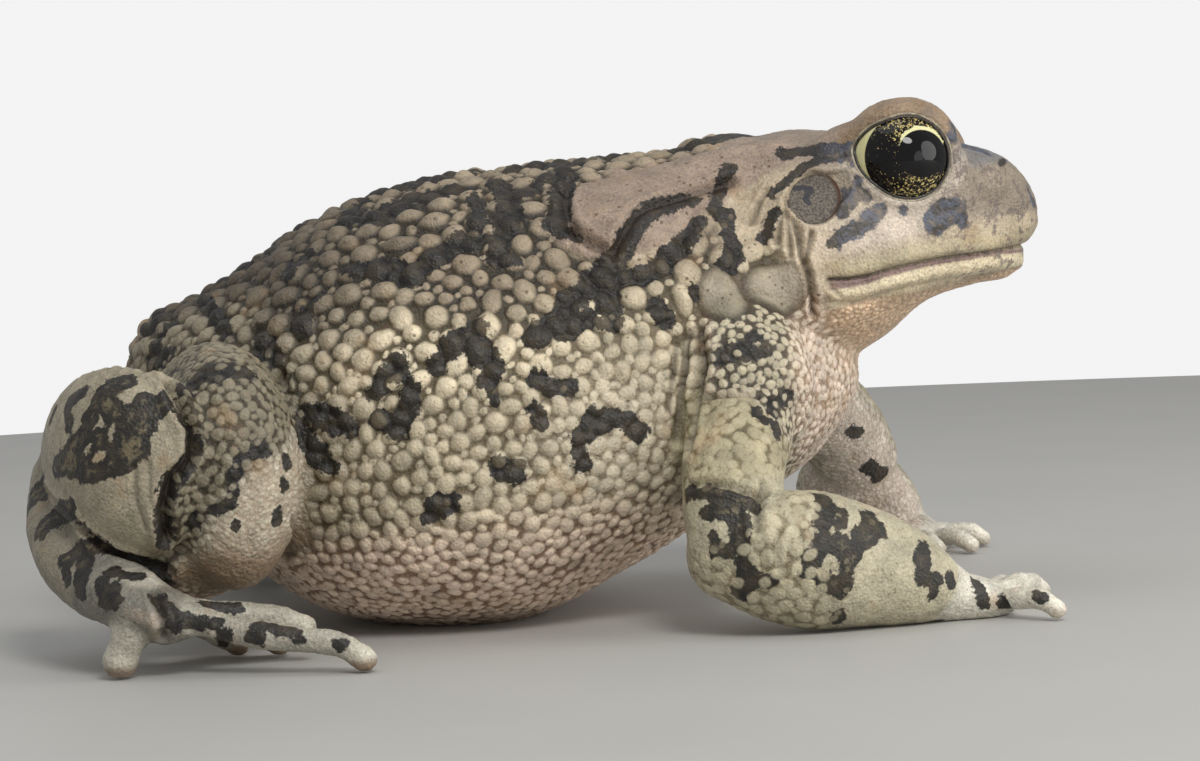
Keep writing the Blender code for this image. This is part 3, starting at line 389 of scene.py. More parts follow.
# Dark marks of the side that the photograph shows, as chains of x, y and half width in its pixels.
DARK_MARKS = {
    "snout": ((936, 226, 8), (950, 214, 9), (959, 212, 8), (963, 222, 4)),
    "cheek": ((877, 218, 5), (860, 227, 6), (842, 235, 5), (831, 244, 4)),
    "before_ear": ((850, 184, 5), (848, 200, 6), (843, 214, 4)),
    "before_ear_spots": ((861, 199, 4), (864, 202, 3)),
    "over_ear": ((784, 153, 5), (803, 150, 6), (828, 149, 6)),
    "behind_eye": ((838, 149, 7), (848, 163, 4)),
    "ear_line": ((772, 194, 2), (784, 184, 3), (793, 175, 3), (807, 166, 3), (822, 158, 3), (838, 151, 3)),
    "neck": ((775, 212, 2.5), (768, 228, 4.5), (764, 238, 4)),
    "cheek_spot": ((904, 217, 2.5), (904, 218, 2)),
    "snout_edge": ((1028, 190, 3), (1034, 204, 3)),
    "parotoid_band": ((693, 198, 5), (672, 203, 7), (650, 209, 8), (634, 226, 8), (622, 250, 9),
                      (606, 270, 10), (588, 284, 11)),
    "shoulder_band": ((699, 226, 5), (681, 246, 7), (660, 266, 8), (642, 276, 7), (616, 281, 9)),
    "shoulder_blotch": ((606, 284, 12), (608, 302, 12), (613, 324, 8)),
    "shoulder_tail": ((590, 290, 8), (574, 298, 12), (556, 320, 10), (533, 338, 7)),
    "shoulder_tail_end": ((590, 318, 7), (565, 334, 7)),
    "neck_side": ((727, 212, 5), (728, 232, 4), (735, 250, 9), (726, 267, 8)),
    "neck_top": ((729, 168, 4), (721, 188, 4), (712, 217, 3)),
    "jaw_gland_gap": ((657, 305, 7), (666, 320, 7)),
    "gland_spot": ((694, 288, 4), (694, 294, 4)),
    "gland_pore": ((788, 291, 0.5), (791, 292, 0.5)),
    "lid_front": ((952, 126, 2), (955, 138, 2)),
    "behind_parotoid": ((566, 172, 8), (561, 207, 9), (556, 226, 9), (574, 238, 5)),
    "dorsal_front": ((574, 178, 5), (547, 176, 6), (528, 195, 6)),
    "dorsal_middle": ((501, 186, 9), (510, 205, 7), (501, 218, 7), (503, 238, 6), (498, 258, 8),
                      (510, 260, 6)),
    "dorsal_band": ((352, 268, 7), (382, 268, 13), (410, 275, 14), (440, 254, 9), (464, 241, 11),
                    (486, 240, 7)),
    "dorsal_side": ((472, 198, 4), (479, 212, 5), (474, 230, 5)),
    "dorsal_front_low": ((514, 204, 5), (520, 219, 5), (512, 231, 4)),
    "dorsal_back": ((362, 203, 6), (348, 221, 13), (381, 221, 8)),
    "dorsal_upper": ((398, 201, 4), (442, 196, 6), (467, 188, 6)),
    "flank_upper": ((309, 255, 7), (290, 275, 8), (286, 264, 5)),
    "flank_rear": ((321, 294, 3), (305, 313, 7), (302, 331, 7)),
    "rump_upper": ((206, 299, 7), (215, 318, 6), (230, 335, 6)),
    "rump_lower": ((172, 324, 4), (159, 343, 5), (152, 359, 9), (171, 356, 6)),
    "over_thigh": ((262, 330, 6), (275, 360, 8)),
    "belly_patch": ((395, 364, 9), (386, 382, 8), (372, 392, 5)),
    "belly_patch_low": ((400, 376, 6), (411, 390, 7), (410, 404, 7), (400, 431, 8), (379, 418, 6)),
    "flank_patch": ((438, 363, 9), (452, 346, 8), (474, 334, 12), (482, 354, 12), (494, 366, 8),
                    (486, 382, 6)),
    "flank_patch_low": ((494, 400, 3), (495, 402, 2)),
    "flank_streak": ((537, 378, 8), (548, 386, 6), (572, 388, 5)),
    "flank_streak_low": ((534, 409, 5), (541, 421, 5)),
    "shoulder_low": ((640, 431, 7), (616, 416, 7), (596, 424, 13), (580, 438, 6), (577, 452, 4),
                     (583, 464, 6)),
    "belly_spot_front": ((499, 468, 8), (515, 472, 9)),
    "belly_spot": ((430, 514, 7), (441, 504, 11), (450, 504, 8)),
    "rear_patch": ((350, 427, 7), (325, 418, 11), (306, 414, 8), (303, 437, 8), (323, 460, 8),
                   (334, 469, 3)),
    "chest": ((718, 359, 4), (727, 353, 6), (746, 351, 6), (766, 353, 4)),
    "chest_top": ((752, 336, 3), (758, 336, 4)),
    "chest_front": ((772, 413, 3), (773, 402, 5), (790, 397, 3)),
    "chest_low": ((757, 413, 4), (764, 420, 4)),
    "far_arm": ((851, 430, 4), (857, 434, 5)),
    "far_arm_low": ((868, 466, 5), (880, 476, 7)),
    "toe_inner": ((260, 625, 4), (295, 632, 4)),
    "arm_front": ((776, 424, 3), (777, 434, 3)),
    "elbow_top": ((688, 493, 4), (711, 493, 5), (729, 499, 6), (753, 505, 5)),
    "elbow_band": ((706, 512, 4), (734, 511, 8), (741, 529, 7), (739, 545, 7), (720, 549, 8),
                   (715, 538, 4)),
    "elbow_low": ((743, 558, 4), (749, 574, 8), (744, 588, 6), (739, 596, 4)),
    "elbow_spot": ((766, 582, 4), (772, 580, 4)),
    "forearm_top": ((818, 496, 4), (827, 507, 8), (824, 520, 7), (826, 534, 7), (820, 546, 6),
                    (812, 560, 6), (807, 573, 5)),
    "forearm_bridge": ((834, 546, 6), (842, 546, 9), (852, 556, 7), (848, 568, 4)),
    "forearm_front": ((868, 517, 6), (873, 528, 11), (861, 538, 8), (852, 552, 6)),
    "forearm_knot": ((827, 507, 6), (840, 512, 4), (842, 524, 3)),
    "forearm_spot": ((829, 584, 8), (841, 585, 9)),
    "forearm_under": ((838, 615, 5), (836, 623, 3)),
    "wrist": ((924, 546, 4), (923, 562, 7), (922, 577, 5), (935, 582, 5), (933, 593, 3)),
    "wrist_small": ((948, 576, 2), (952, 584, 2.5)),
    "hand": ((976, 584, 4), (981, 593, 3), (985, 603, 3)),
    "finger": ((1002, 602, 3.5), (1004, 604, 3)),
    "finger_tip": ((1038, 596, 2.5), (1040, 598, 2.5)),
    "shank_top": ((126, 381, 8), (104, 393, 9), (92, 414, 8), (82, 437, 8), (68, 460, 13), (55, 470, 6)),
    "shank_low": ((68, 462, 12), (87, 470, 11), (117, 460, 14), (136, 447, 12), (141, 427, 9),
                  (154, 411, 8), (167, 401, 6)),
    "shank_middle": ((104, 402, 10), (122, 422, 8), (144, 401, 7)),
    "shank_inner": ((95, 440, 9), (120, 440, 9)),
    "shank_edge": ((85, 392, 4), (68, 404, 6), (70, 424, 5)),
    "shank_rim": ((54, 412, 3), (51, 420, 3)),
    "ankle": ((23, 482, 4), (33, 467, 5)),
    "tarsus_first": ((27, 512, 4), (31, 499, 7), (48, 487, 8)),
    "tarsus_second": ((43, 535, 4), (47, 524, 7), (64, 510, 7)),
    "tarsus_third": ((67, 581, 4), (65, 570, 5), (73, 556, 7), (84, 549, 6)),
    "tarsus_fourth": ((82, 591, 5), (85, 570, 6), (88, 560, 4)),
    "tarsus_edge": ((52, 590, 4), (57, 599, 5)),
    "foot_ring": ((114, 600, 6), (110, 590, 8), (103, 581, 5), (122, 574, 3.5), (140, 576, 3.5)),
    "foot_web": ((158, 597, 5), (162, 605, 4)),
    "toe_third": ((206, 604, 4), (236, 606, 4)),
    "toe_fourth": ((174, 618, 3), (187, 622, 5), (199, 624, 4.5), (216, 624, 3)),
    "toe_fourth_far": ((224, 636, 4), (225, 638, 4)),
    "toe_fourth_blotch": ((252, 634, 6), (259, 636, 6)),
    "toe_end_spot": ((298, 639, 2.5), (299, 640, 2)),
    "toe_end_spot_far": ((339, 645, 3.5), (341, 646, 3)),
    "thigh_top": ((184, 393, 5), (194, 382, 7), (212, 370, 7), (237, 368, 6), (250, 375, 4)),
    "thigh_top_edge": ((176, 372, 3), (180, 366, 3)),
    "thigh_front_edge": ((256, 353, 5), (263, 362, 4)),
    "thigh_ring": ((235, 478, 3), (238, 464, 4), (247, 453, 4), (264, 451, 4)),
    "thigh_zigzag": ((234, 484, 2.5), (232, 501, 3), (218, 510, 3), (201, 513, 3), (194, 522, 5)),
    "thigh_spot": ((278, 514, 4), (278, 520, 4)),
    "thigh_edge_spots": ((283, 482, 2.5), (284, 488, 2.5)),
    "thigh_edge_high": ((285, 458, 3), (286, 466, 3)),
    "knee_line": ((178, 412, 2), (192, 432, 2), (194, 452, 3), (184, 468, 6), (168, 486, 5), (163, 510, 5),
                  (164, 542, 4)),
    "hock_line": ((66, 505, 3.5), (88, 528, 4), (107, 543, 5), (129, 556, 5), (150, 567, 5), (168, 581, 4)),
    "tarsus_band": ((23, 511, 5), (32, 494, 7), (44, 483, 7)),
    "tarsus_band_next": ((39, 533, 5), (52, 518, 8), (72, 507, 8)),
    "tarsus_band_far": ((64, 560, 6), (78, 552, 8), (104, 545, 7)),
    "tarsus_band_last": ((84, 562, 6), (80, 594, 6)),
    "foot_band": ((112, 574, 8), (106, 598, 9)),
    "thigh_dark": ((196, 380, 8), (218, 372, 10), (243, 371, 8)),
    "toe_fourth_bands": ((223, 634, 5), (224, 645, 3)),
    "toe_base": ((176, 622, 7), (166, 606, 5)),
    "knee_gap": ((169, 483, 4), (164, 508, 4), (165, 527, 4)),
    "thigh_low_spots": ((236, 525, 2), (236, 526, 2)),
}
# Light places inside the dark marks, in the same form.
LIGHT_MARKS = {
    "shank_eye": ((112, 428, 4), (111, 437, 4)),
    "shank_eye_low": ((97, 459, 4), (101, 456, 4)),
    "shank_eye_rear": ((90, 443, 3), (88, 447, 3)),
    "forearm_eye": ((833, 528, 4), (834, 530, 4)),
    "elbow_eye": ((722, 534, 4), (726, 538, 4)),
    "foot_eye": ((112, 580, 2), (116, 579, 2)),
    "flank_eye": ((462, 362, 5), (465, 364, 4)),
    "belly_eye": ((393, 389, 5), (401, 389, 5)),
    "rear_eye": ((311, 428, 4), (313, 433, 4)),
}

# Paired dark marks of the back, seen from above: x, distance from the mid plane, half width.
BACK_MARKS = {
    "between_eyes": ((52.0, 1.2, 1.0), (51.0, 4.0, 1.5), (50.5, 7.5, 1.5)),
    "snout_top": ((59.5, 2.6, 1.3), (61.5, 3.8, 1.0)),
    "nape": ((36.0, 2.2, 1.5), (32.5, 4.4, 2.0), (29.0, 4.6, 1.4)),
    "shoulder": ((21.0, 2.2, 2.2), (16.5, 4.6, 2.8), (12.0, 5.0, 2.0)),
    "middle": ((5.5, 3.4, 2.0), (0.5, 5.6, 3.0), (-5.0, 4.8, 2.2)),
    "middle_side": ((2.0, 14.0, 1.8), (-3.0, 16.0, 2.2)),
    "hip": ((-12.0, 3.2, 1.8), (-17.0, 5.4, 2.6), (-21.5, 4.6, 1.8)),
    "vent": ((-26.5, 3.4, 1.6), (-28.5, 6.0, 1.4)),
}

# Grooves and folds of the side that shows: half width and depth in mm, then places in the photo's pixels.
FOLDS = {
    "neck_fold": (0.32, 0.85, ((793, 220), (798, 236), (801, 257), (808, 272), (812, 299), (813, 314))),
    "neck_fold_front": (0.28, 0.55, ((811, 234), (807, 253), (806, 264))),
    "neck_fold_back": (0.28, 0.6, ((786, 200), (787, 217), (790, 236), (791, 256))),
    "neck_fold_rear": (0.30, 0.45, ((783, 213), (777, 243))),
    "nape_fold": (0.30, 0.4, ((766, 190), (757, 207), (752, 223))),
    "parotoid_edge": (0.55, 0.75, ((571, 229), (590, 244), (613, 254), (624, 234), (636, 212), (648, 206),
                                   (694, 193), (730, 182))),
    "knee_crease": (0.5, 1.3, ((163, 378), (179, 406), (192, 430), (191, 457), (170, 480), (163, 508),
                               (167, 540))),
    "hock_crease": (0.5, 1.1, ((34, 462), (51, 492), (75, 516), (102, 543), (129, 554), (150, 564),
                               (168, 570))),
    "shank_wrinkle": (0.25, 0.25, ((134, 466), (136, 500), (146, 528))),
    "shank_wrinkle_low": (0.22, 0.2, ((148, 462), (150, 494), (155, 516))),
    "thigh_body": (0.5, 0.7, ((281, 376), (291, 420), (293, 470), (292, 520), (285, 560))),
    "arm_top": (0.35, 0.4, ((706, 400), (730, 396), (758, 396))),
    "toe_split": (0.45, 0.6, ((153, 586), (158, 602), (162, 622), (164, 638))),
    "parotoid_end": (0.5, 0.5, ((571, 229), (564, 205), (570, 180))),
    "arm_crease": (0.5, 0.9, ((700, 330), (703, 365), (697, 400), (690, 450))),
    "flank_crease": (0.45, 0.6, ((690, 335), (685, 370), (680, 400), (677, 440))),
    "flank_crease_rear": (0.35, 0.4, ((676, 345), (672, 380), (668, 410))),
    "elbow_crease": (0.45, 0.5, ((764, 486), (759, 500), (757, 512), (758, 530))),
    "elbow_crease_low": (0.35, 0.2, ((778, 530), (777, 552), (782, 575))),
    "elbow_line": (0.4, 0.5, ((690, 486), (715, 484), (745, 492), (764, 496))),
    "mouth_corner": (0.28, 0.3, ((829, 281), (832, 289), (838, 294))),
}

# Swollen glands at the corner of the jaw and the warts that stand out, on the side that shows:
# x and y in the photo's pixels, half width and half height in pixels, slant in degrees.
LARGE_WARTS = (
    (773, 290, 37, 29, 0), (722, 299, 26, 38, 20), (688, 273, 17, 18, 0), (683, 299, 12, 22, 15),
    (634, 297, 17, 16, 0), (656, 287, 12, 11, 0), (676, 329, 9, 9, 0), (663, 339, 11, 10, 0),
    (642, 329, 9, 10, 0), (692, 328, 7, 9, 0), (589, 341, 14, 13, 0), (579, 252, 12, 11, 0),
    (605, 257, 10, 12, 30), (564, 241, 8, 9, 0), (522, 243, 13, 16, 0), (545, 303, 14, 13, 0),
    (547, 276, 12, 11, 0), (517, 312, 12, 12, 0), (503, 282, 14, 12, 0), (480, 277, 10, 12, 0),
    (487, 326, 16, 18, -30), (437, 316, 15, 15, 0), (427, 352, 16, 12, -30), (446, 387, 13, 13, 0),
    (434, 220, 19, 15, 0), (398, 243, 23, 12, 8), (411, 229, 8, 12, 0), (346, 221, 15, 14, 0),
    (452, 281, 13, 11, 0), (468, 303, 10, 10, 0), (424, 298, 12, 10, 0), (329, 277, 11, 12, 0),
    (309, 280, 10, 12, 0), (335, 314, 11, 11, 0), (354, 338, 14, 13, 0), (343, 352, 13, 12, 0),
    (412, 332, 12, 11, 0), (379, 313, 12, 10, 0), (366, 302, 10, 10, 0), (300, 305, 9, 12, 0),
    (322, 360, 11, 13, 0), (320, 385, 10, 12, 0), (206, 335, 14, 12, 0), (188, 314, 14, 16, 0),
    (163, 328, 12, 14, 0), (233, 309, 11, 9, 0), (252, 311, 9, 8, 0), (264, 275, 13, 12, 0),
    (496, 423, 14, 13, 0), (550, 448, 11, 10, 0), (513, 448, 10, 9, 0), (479, 452, 11, 9, 0),
    (457, 421, 12, 12, 0), (445, 431, 11, 10, 0), (402, 486, 11, 11, 0), (380, 491, 10, 11, 0),
    (562, 372, 12, 10, 0), (523, 369, 10, 9, 0), (506, 389, 9, 9, 0), (821, 289, 11, 13, 0),
)


def smooth_ramp(low, high, value):
    """0 at low, 1 at high and smooth between."""
    t = np.clip((value - low) / (high - low), 0.0, 1.0)
    return t * t * (3 - 2 * t)


def hump(value, middle, half_width):
    return np.exp(-((value - middle) / half_width) ** 2)


def hashed(cells, seed):
    """A steady number from 0 to 1 for each whole-numbered cell."""
    n = cells[:, 0] * 374761393 + cells[:, 1] * 668265263 + cells[:, 2] * 1440662683 + seed * 974634777
    n = (n ^ (n >> 13)) * 1274126177
    return ((n ^ (n >> 16)) & 0xFFFFFF) / 0xFFFFFF


def noise(points, size, seed=0):
    """Smooth noise from -1 to 1 whose lumps are about this many millimetres apart."""
    place = points / size
    cell = np.floor(place).astype(np.int64)
    part = place - cell
    part = part * part * (3 - 2 * part)
    total = np.zeros(len(points))
    for corner in np.ndindex(2, 2, 2):
        weight = np.ones(len(points))
        for axis in range(3):
            weight *= part[:, axis] if corner[axis] else 1 - part[:, axis]
        total += weight * hashed(cell + np.array(corner), seed)
    return total * 2 - 1


def mirrored(side):
    """The sign of y on this side."""
    return -1.0 if side == "right" else 1.0


def on_side(point, side):
    return Vector((point.x, point.y * mirrored(side), point.z))


def turned(point):
    """A point of the head, after the head has turned towards the toad's right."""
    return HEAD_PIVOT + Matrix.Rotation(HEAD_TURN, 3, "Z") @ (point - HEAD_PIVOT)


def turned_direction(direction):
    return Matrix.Rotation(HEAD_TURN, 3, "Z") @ direction


def unturned_array(points):
    """Points as they lie before the head turns."""
    turn = np.array(Matrix.Rotation(-HEAD_TURN, 3, "Z"))
    pivot = np.array(HEAD_PIVOT)
    return (points - pivot) @ turn.T + pivot


def catmull(rows, t):
    """The row at t, from 0 to 1, on a smooth curve through the rows."""
    last = len(rows) - 1
    place = min(t * last, last - 1e-9)
    i = int(place)
    u = place - i
    p0, p1, p2, p3 = (rows[min(max(k, 0), last)] for k in (i - 1, i, i + 1, i + 2))
    return [
        0.5 * (2 * b + (c - a) * u + (2 * a - 5 * b + 4 * c - d) * u * u + (3 * b - a - 3 * c + d) * u ** 3)
        for a, b, c, d in zip(p0, p1, p2, p3)
    ]


def new_object(name, mesh):
    obj = bpy.data.objects.new(name, mesh)
    bpy.context.scene.collection.objects.link(obj)
    return obj


def loft(bm, rings):
    """Adds a closed form through rings of equal length, its ends drawn to a point."""
    sides = len(rings[0])
    grid = [[bm.verts.new(p * MM) for p in ring] for ring in rings]
    for near, far in zip(grid, grid[1:]):
        for j in range(sides):
            bm.faces.new((near[j], near[(j + 1) % sides], far[(j + 1) % sides], far[j]))
    for ring, points, flip in ((grid[0], rings[0], True), (grid[-1], rings[-1], False)):
        tip = bm.verts.new(sum(points, Vector()) / sides * MM)
        for j in range(sides):
            face = (ring[j], ring[(j + 1) % sides], tip)
            bm.faces.new(face[::-1] if flip else face)


def signed_power(value, power):
    return math.copysign(abs(value) ** power, value)


def section_point(row, angle, upper_power, lower_power):
    """A point of a body section at this angle, 0 at the left side and a quarter turn at the back."""
    x, top, middle, bottom, half_width = row
    power = upper_power if math.sin(angle) >= 0 else lower_power
    height = top - middle if math.sin(angle) >= 0 else middle - bottom
    y = half_width * signed_power(math.cos(angle), 2 / power)
    return Vector((x, y, middle + height * signed_power(math.sin(angle), 2 / power)))


def turns(count):
    """Angles of this many even steps round a circle."""
    return [2 * math.pi * j / count for j in range(count)]


def body_loft(bm, rows, upper_power, lower_power, place=lambda point: point):
    """Adds the trunk or the head through its cross-sections."""
    rings = []
    for k in range(LOFT_RINGS + 1):
        row = catmull(rows, k / LOFT_RINGS)
        rings.append([place(section_point(row, a, upper_power, lower_power)) for a in turns(LOFT_SIDES)])
    loft(bm, rings)


def tube(bm, rows, sides, count, up=UPWARD):
    """Adds a round-ended limb along rows of x, y, z, half width, half height."""
    samples = [catmull(rows, k / count) for k in range(count + 1)]
    centres = [Vector(s[:3]) for s in samples]
    rings = []
    for k, sample in enumerate(samples):
        along = (centres[min(k + 1, count)] - centres[max(k - 1, 0)]).normalized()
        across = up.cross(along).normalized()
        over = along.cross(across)
        stack = [(centres[k], 1.0)]
        if k in (0, count):
            reach = -1.0 if k == 0 else 1.0
            cap = min(sample[3], sample[4])
            for step in range(1, CAP_RINGS + 1):
                angle = 0.5 * math.pi * step / (CAP_RINGS + 0.6)
                end = (centres[k] + along * (reach * cap * math.sin(angle)), math.cos(angle))
                stack = [end] + stack if k == 0 else stack + [end]
        for centre, shrink in stack:
            wide, high = sample[3] * shrink, sample[4] * shrink
            rings.append([
                centre + across * (wide * math.cos(a)) + over * (high * math.sin(a)) for a in turns(sides)
            ])
    loft(bm, rings)


def ball(bm, centre, radii, rotation=Matrix.Identity(3)):
    """Adds an ellipsoid."""
    rings = []
    for k in range(1, BALL_RINGS):
        lift = math.pi * k / BALL_RINGS
        ring = []
        for turn in turns(2 * BALL_RINGS):
            way = (math.sin(lift) * math.cos(turn), math.sin(lift) * math.sin(turn), math.cos(lift))
            ring.append(Vector(centre) + rotation @ Vector([w * r for w, r in zip(way, radii)]))
        rings.append(ring)
    loft(bm, rings)


def side_rows(rows, side):
    return [(row[0], row[1] * mirrored(side), *row[2:]) for row in rows]


def digit_rows(points, radius, side, taper=0.0):
    """Rows of a toe or a finger, with knuckles and a swollen tip."""
    count = len(KNUCKLES) - 1
    rows = []
    for k, swell in enumerate(KNUCKLES):
        half = radius * swell * (1 - taper * k / count)
        rows.append((*catmull(points, k / count), half, half))
    return side_rows(rows, side)


def limb_forms():
    """Every limb piece as (zone, side, rows)."""
    forms = []
    for side in SIDES:
        arm, leg = ARM[side], LEG[side]
        for zone in ("upper_arm", "forearm", "hand"):
            forms.append((zone, side, side_rows(arm[zone], side)))
        for points in arm["fingers"]:
            forms.append(("finger", side, digit_rows(points, FINGER_RADIUS, side)))
        for zone in ("thigh", "shank", "tarsus", "foot"):
            forms.append((zone, side, side_rows(leg[zone], side)))
        for points, radius, taper in zip(leg["toes"], TOE_RADII, TOE_TAPERS):
            forms.append(("toe", side, digit_rows(points, radius, side, taper)))
    return forms


def read_vectors(collection, field, count):
    values = np.empty(count * 3, np.float32)
    collection.foreach_get(field, values)
    return values.reshape(-1, 3).astype(float)


def points_of(mesh):
    return read_vectors(mesh.vertices, "co", len(mesh.vertices)) / MM


def normals_of(mesh):
    return read_vectors(mesh.vertex_normals, "vector", len(mesh.vertices))


def set_points(mesh, points):
    mesh.vertices.foreach_set("co", (points * MM).astype(np.float32).ravel())
    mesh.update()


def set_field(mesh, name, values):
    kind = "FLOAT_COLOR" if values.ndim == 2 else "FLOAT"
    field = "color" if values.ndim == 2 else "value"
    attribute = mesh.attributes.get(name) or mesh.attributes.new(name, kind, "POINT")
    if values.ndim == 2:
        values = np.concatenate([values, np.ones((len(values), 1))], axis=1)
    attribute.data.foreach_set(field, values.astype(np.float32).ravel())


def get_field(mesh, name):
    values = np.empty(len(mesh.vertices), np.float32)
    mesh.attributes[name].data.foreach_get("value", values)
    return values.astype(float)


def apply_modifiers(obj):
    graph = bpy.context.evaluated_depsgraph_get()
    mesh = bpy.data.meshes.new_from_object(obj.evaluated_get(graph))
    obj.modifiers.clear()
    obj.data = mesh
    return mesh


def surface_tree(mesh):
    """The mesh's surface in millimetres, for finding places on it."""
    points = [Vector(p) for p in points_of(mesh)]
    return BVHTree.FromPolygons(points, [tuple(p.vertices) for p in mesh.polygons])


def finished_mesh(bm, name):
    """The form as a mesh with its faces turned outwards."""
    bmesh.ops.recalc_face_normals(bm, faces=bm.faces)
    mesh = bpy.data.meshes.new(name)
    bm.to_mesh(mesh)
    bm.free()
    return mesh


def remesh(bm, name, voxel):
    """Fuses every form into one skin of this voxel size."""
    obj = new_object(name, finished_mesh(bm, name))
    modifier = obj.modifiers.new("fuse", "REMESH")
    modifier.mode = "VOXEL"
    modifier.voxel_size = voxel * MM
    apply_modifiers(obj)
    return obj


def point_tree(points):
    tree = KDTree(len(points))
    for index, point in enumerate(points):
        tree.insert(point, index)
    tree.balance()
    return tree


def close_to(points, samples, reach):
    """Indices of the points inside the samples' box, grown by this reach."""
    low, high = samples.min(0) - reach, samples.max(0) + reach
    return np.nonzero(np.all((points > low) & (points < high), axis=1))[0]


def fillet_strength(points):
    """1 where the eyes' bulges meet the head, 0 away from there."""
    strength = np.zeros(len(points))
    for side in SIDES:
        distance = np.linalg.norm(points - np.array(turned(on_side(EYE_CENTRE, side))), axis=1)
        ring = smooth_ramp(LID_RADIUS + 0.1, LID_RADIUS + 0.9, distance)
        strength = np.maximum(strength, ring * smooth_ramp(LID_RADIUS + 7.0, LID_RADIUS + 3.0, distance))
    return strength


def relaxed(mesh, points, strength, rounds, give_back=-0.45):
    """The points after smoothing along the edges, by a strength for each point."""
    edges = np.empty(len(mesh.edges) * 2, np.int32)
    mesh.edges.foreach_get("vertices", edges)
    a, b = edges.reshape(-1, 2).T
    count = len(points)
    links = np.bincount(a, minlength=count) + np.bincount(b, minlength=count)
    for _ in range(rounds):
        for factor in (0.6, give_back):
            move = np.empty_like(points)
            for axis in range(3):
                total = np.bincount(a, points[b, axis], count) + np.bincount(b, points[a, axis], count)
                move[:, axis] = total / links - points[:, axis]
            points = points + move * (factor * strength)[:, None]
    return points


def on_skin(tree, x, z, side):
    start = Vector((x, LOOK_FROM * mirrored(side), z))
    return tree.ray_cast(start, Vector((0.0, -mirrored(side), 0.0)))[:2]


def core_forms(bm):
    """The trunk, the turned head and the bulges of the eyes."""
    body_loft(bm, TRUNK, TRUNK_BACK_POWER, TRUNK_BELLY_POWER)
    body_loft(bm, HEAD, HEAD_CROWN_POWER, HEAD_THROAT_POWER, turned)
    for side in SIDES:
        ball(bm, turned(on_side(EYE_CENTRE, side)), (LID_RADIUS,) * 3)


def swellings(bm):
    """Fuller cheeks, temples, shoulders and hams."""
    for side in SIDES:
        for centre, radii in HEAD_SWELLINGS:
            ball(bm, turned(on_side(Vector(centre), side)), radii, Matrix.Rotation(HEAD_TURN, 3, "Z"))
        for centre, radii in BODY_SWELLINGS[side]:
            ball(bm, on_side(Vector(centre), side), radii)


def parotoid_rows(tree, side):
    rows, ups = [], []
    for x, z, half_width, half_depth in PAROTOID:
        place, out = on_skin(tree, x, z, side)
        rows.append((*(place - out * (half_depth - PAROTOID_RISE)), half_width, half_depth))
        ups.append(out)
    return rows, sum(ups, Vector()).normalized()


def nearness(points, rows, count):
    """Distance from the rows' centre line over their size there: about 1 on the limb's own skin."""
    samples = np.array([catmull(rows, k / count) for k in range(count + 1)])
    near = close_to(points, samples[:, :3], LIMB_REACH)
    best = np.full(len(points), FAR_OFF)
    some = np.full(len(near), FAR_OFF)
    for sample in samples:
        size = (sample[3] + sample[4]) / 2
        some = np.minimum(some, np.linalg.norm(points[near] - sample[:3], axis=1) / size)
    best[near] = some
    return best


def limb_weights(points, forms, parotoids):
    """How much each point belongs to each limb zone, from 0 to 1."""
    weights = {}
    for zone, _, rows in forms:
        near = nearness(points, rows, 10 if zone in DIGITS else 14)
        weights[zone] = np.maximum(weights.get(zone, 0.0), smooth_ramp(1.42, 1.14, near))
    glands = [smooth_ramp(1.5, 1.3, nearness(points, rows, 24)) for rows, _ in parotoids]
    weights["gland"] = np.maximum(*glands)
    return weights


def further_forward(limbs, zone):
    """How much further forward this limb starts on the left side than on the right."""
    return limbs["left"][zone][0][0] - limbs["right"][zone][0][0]


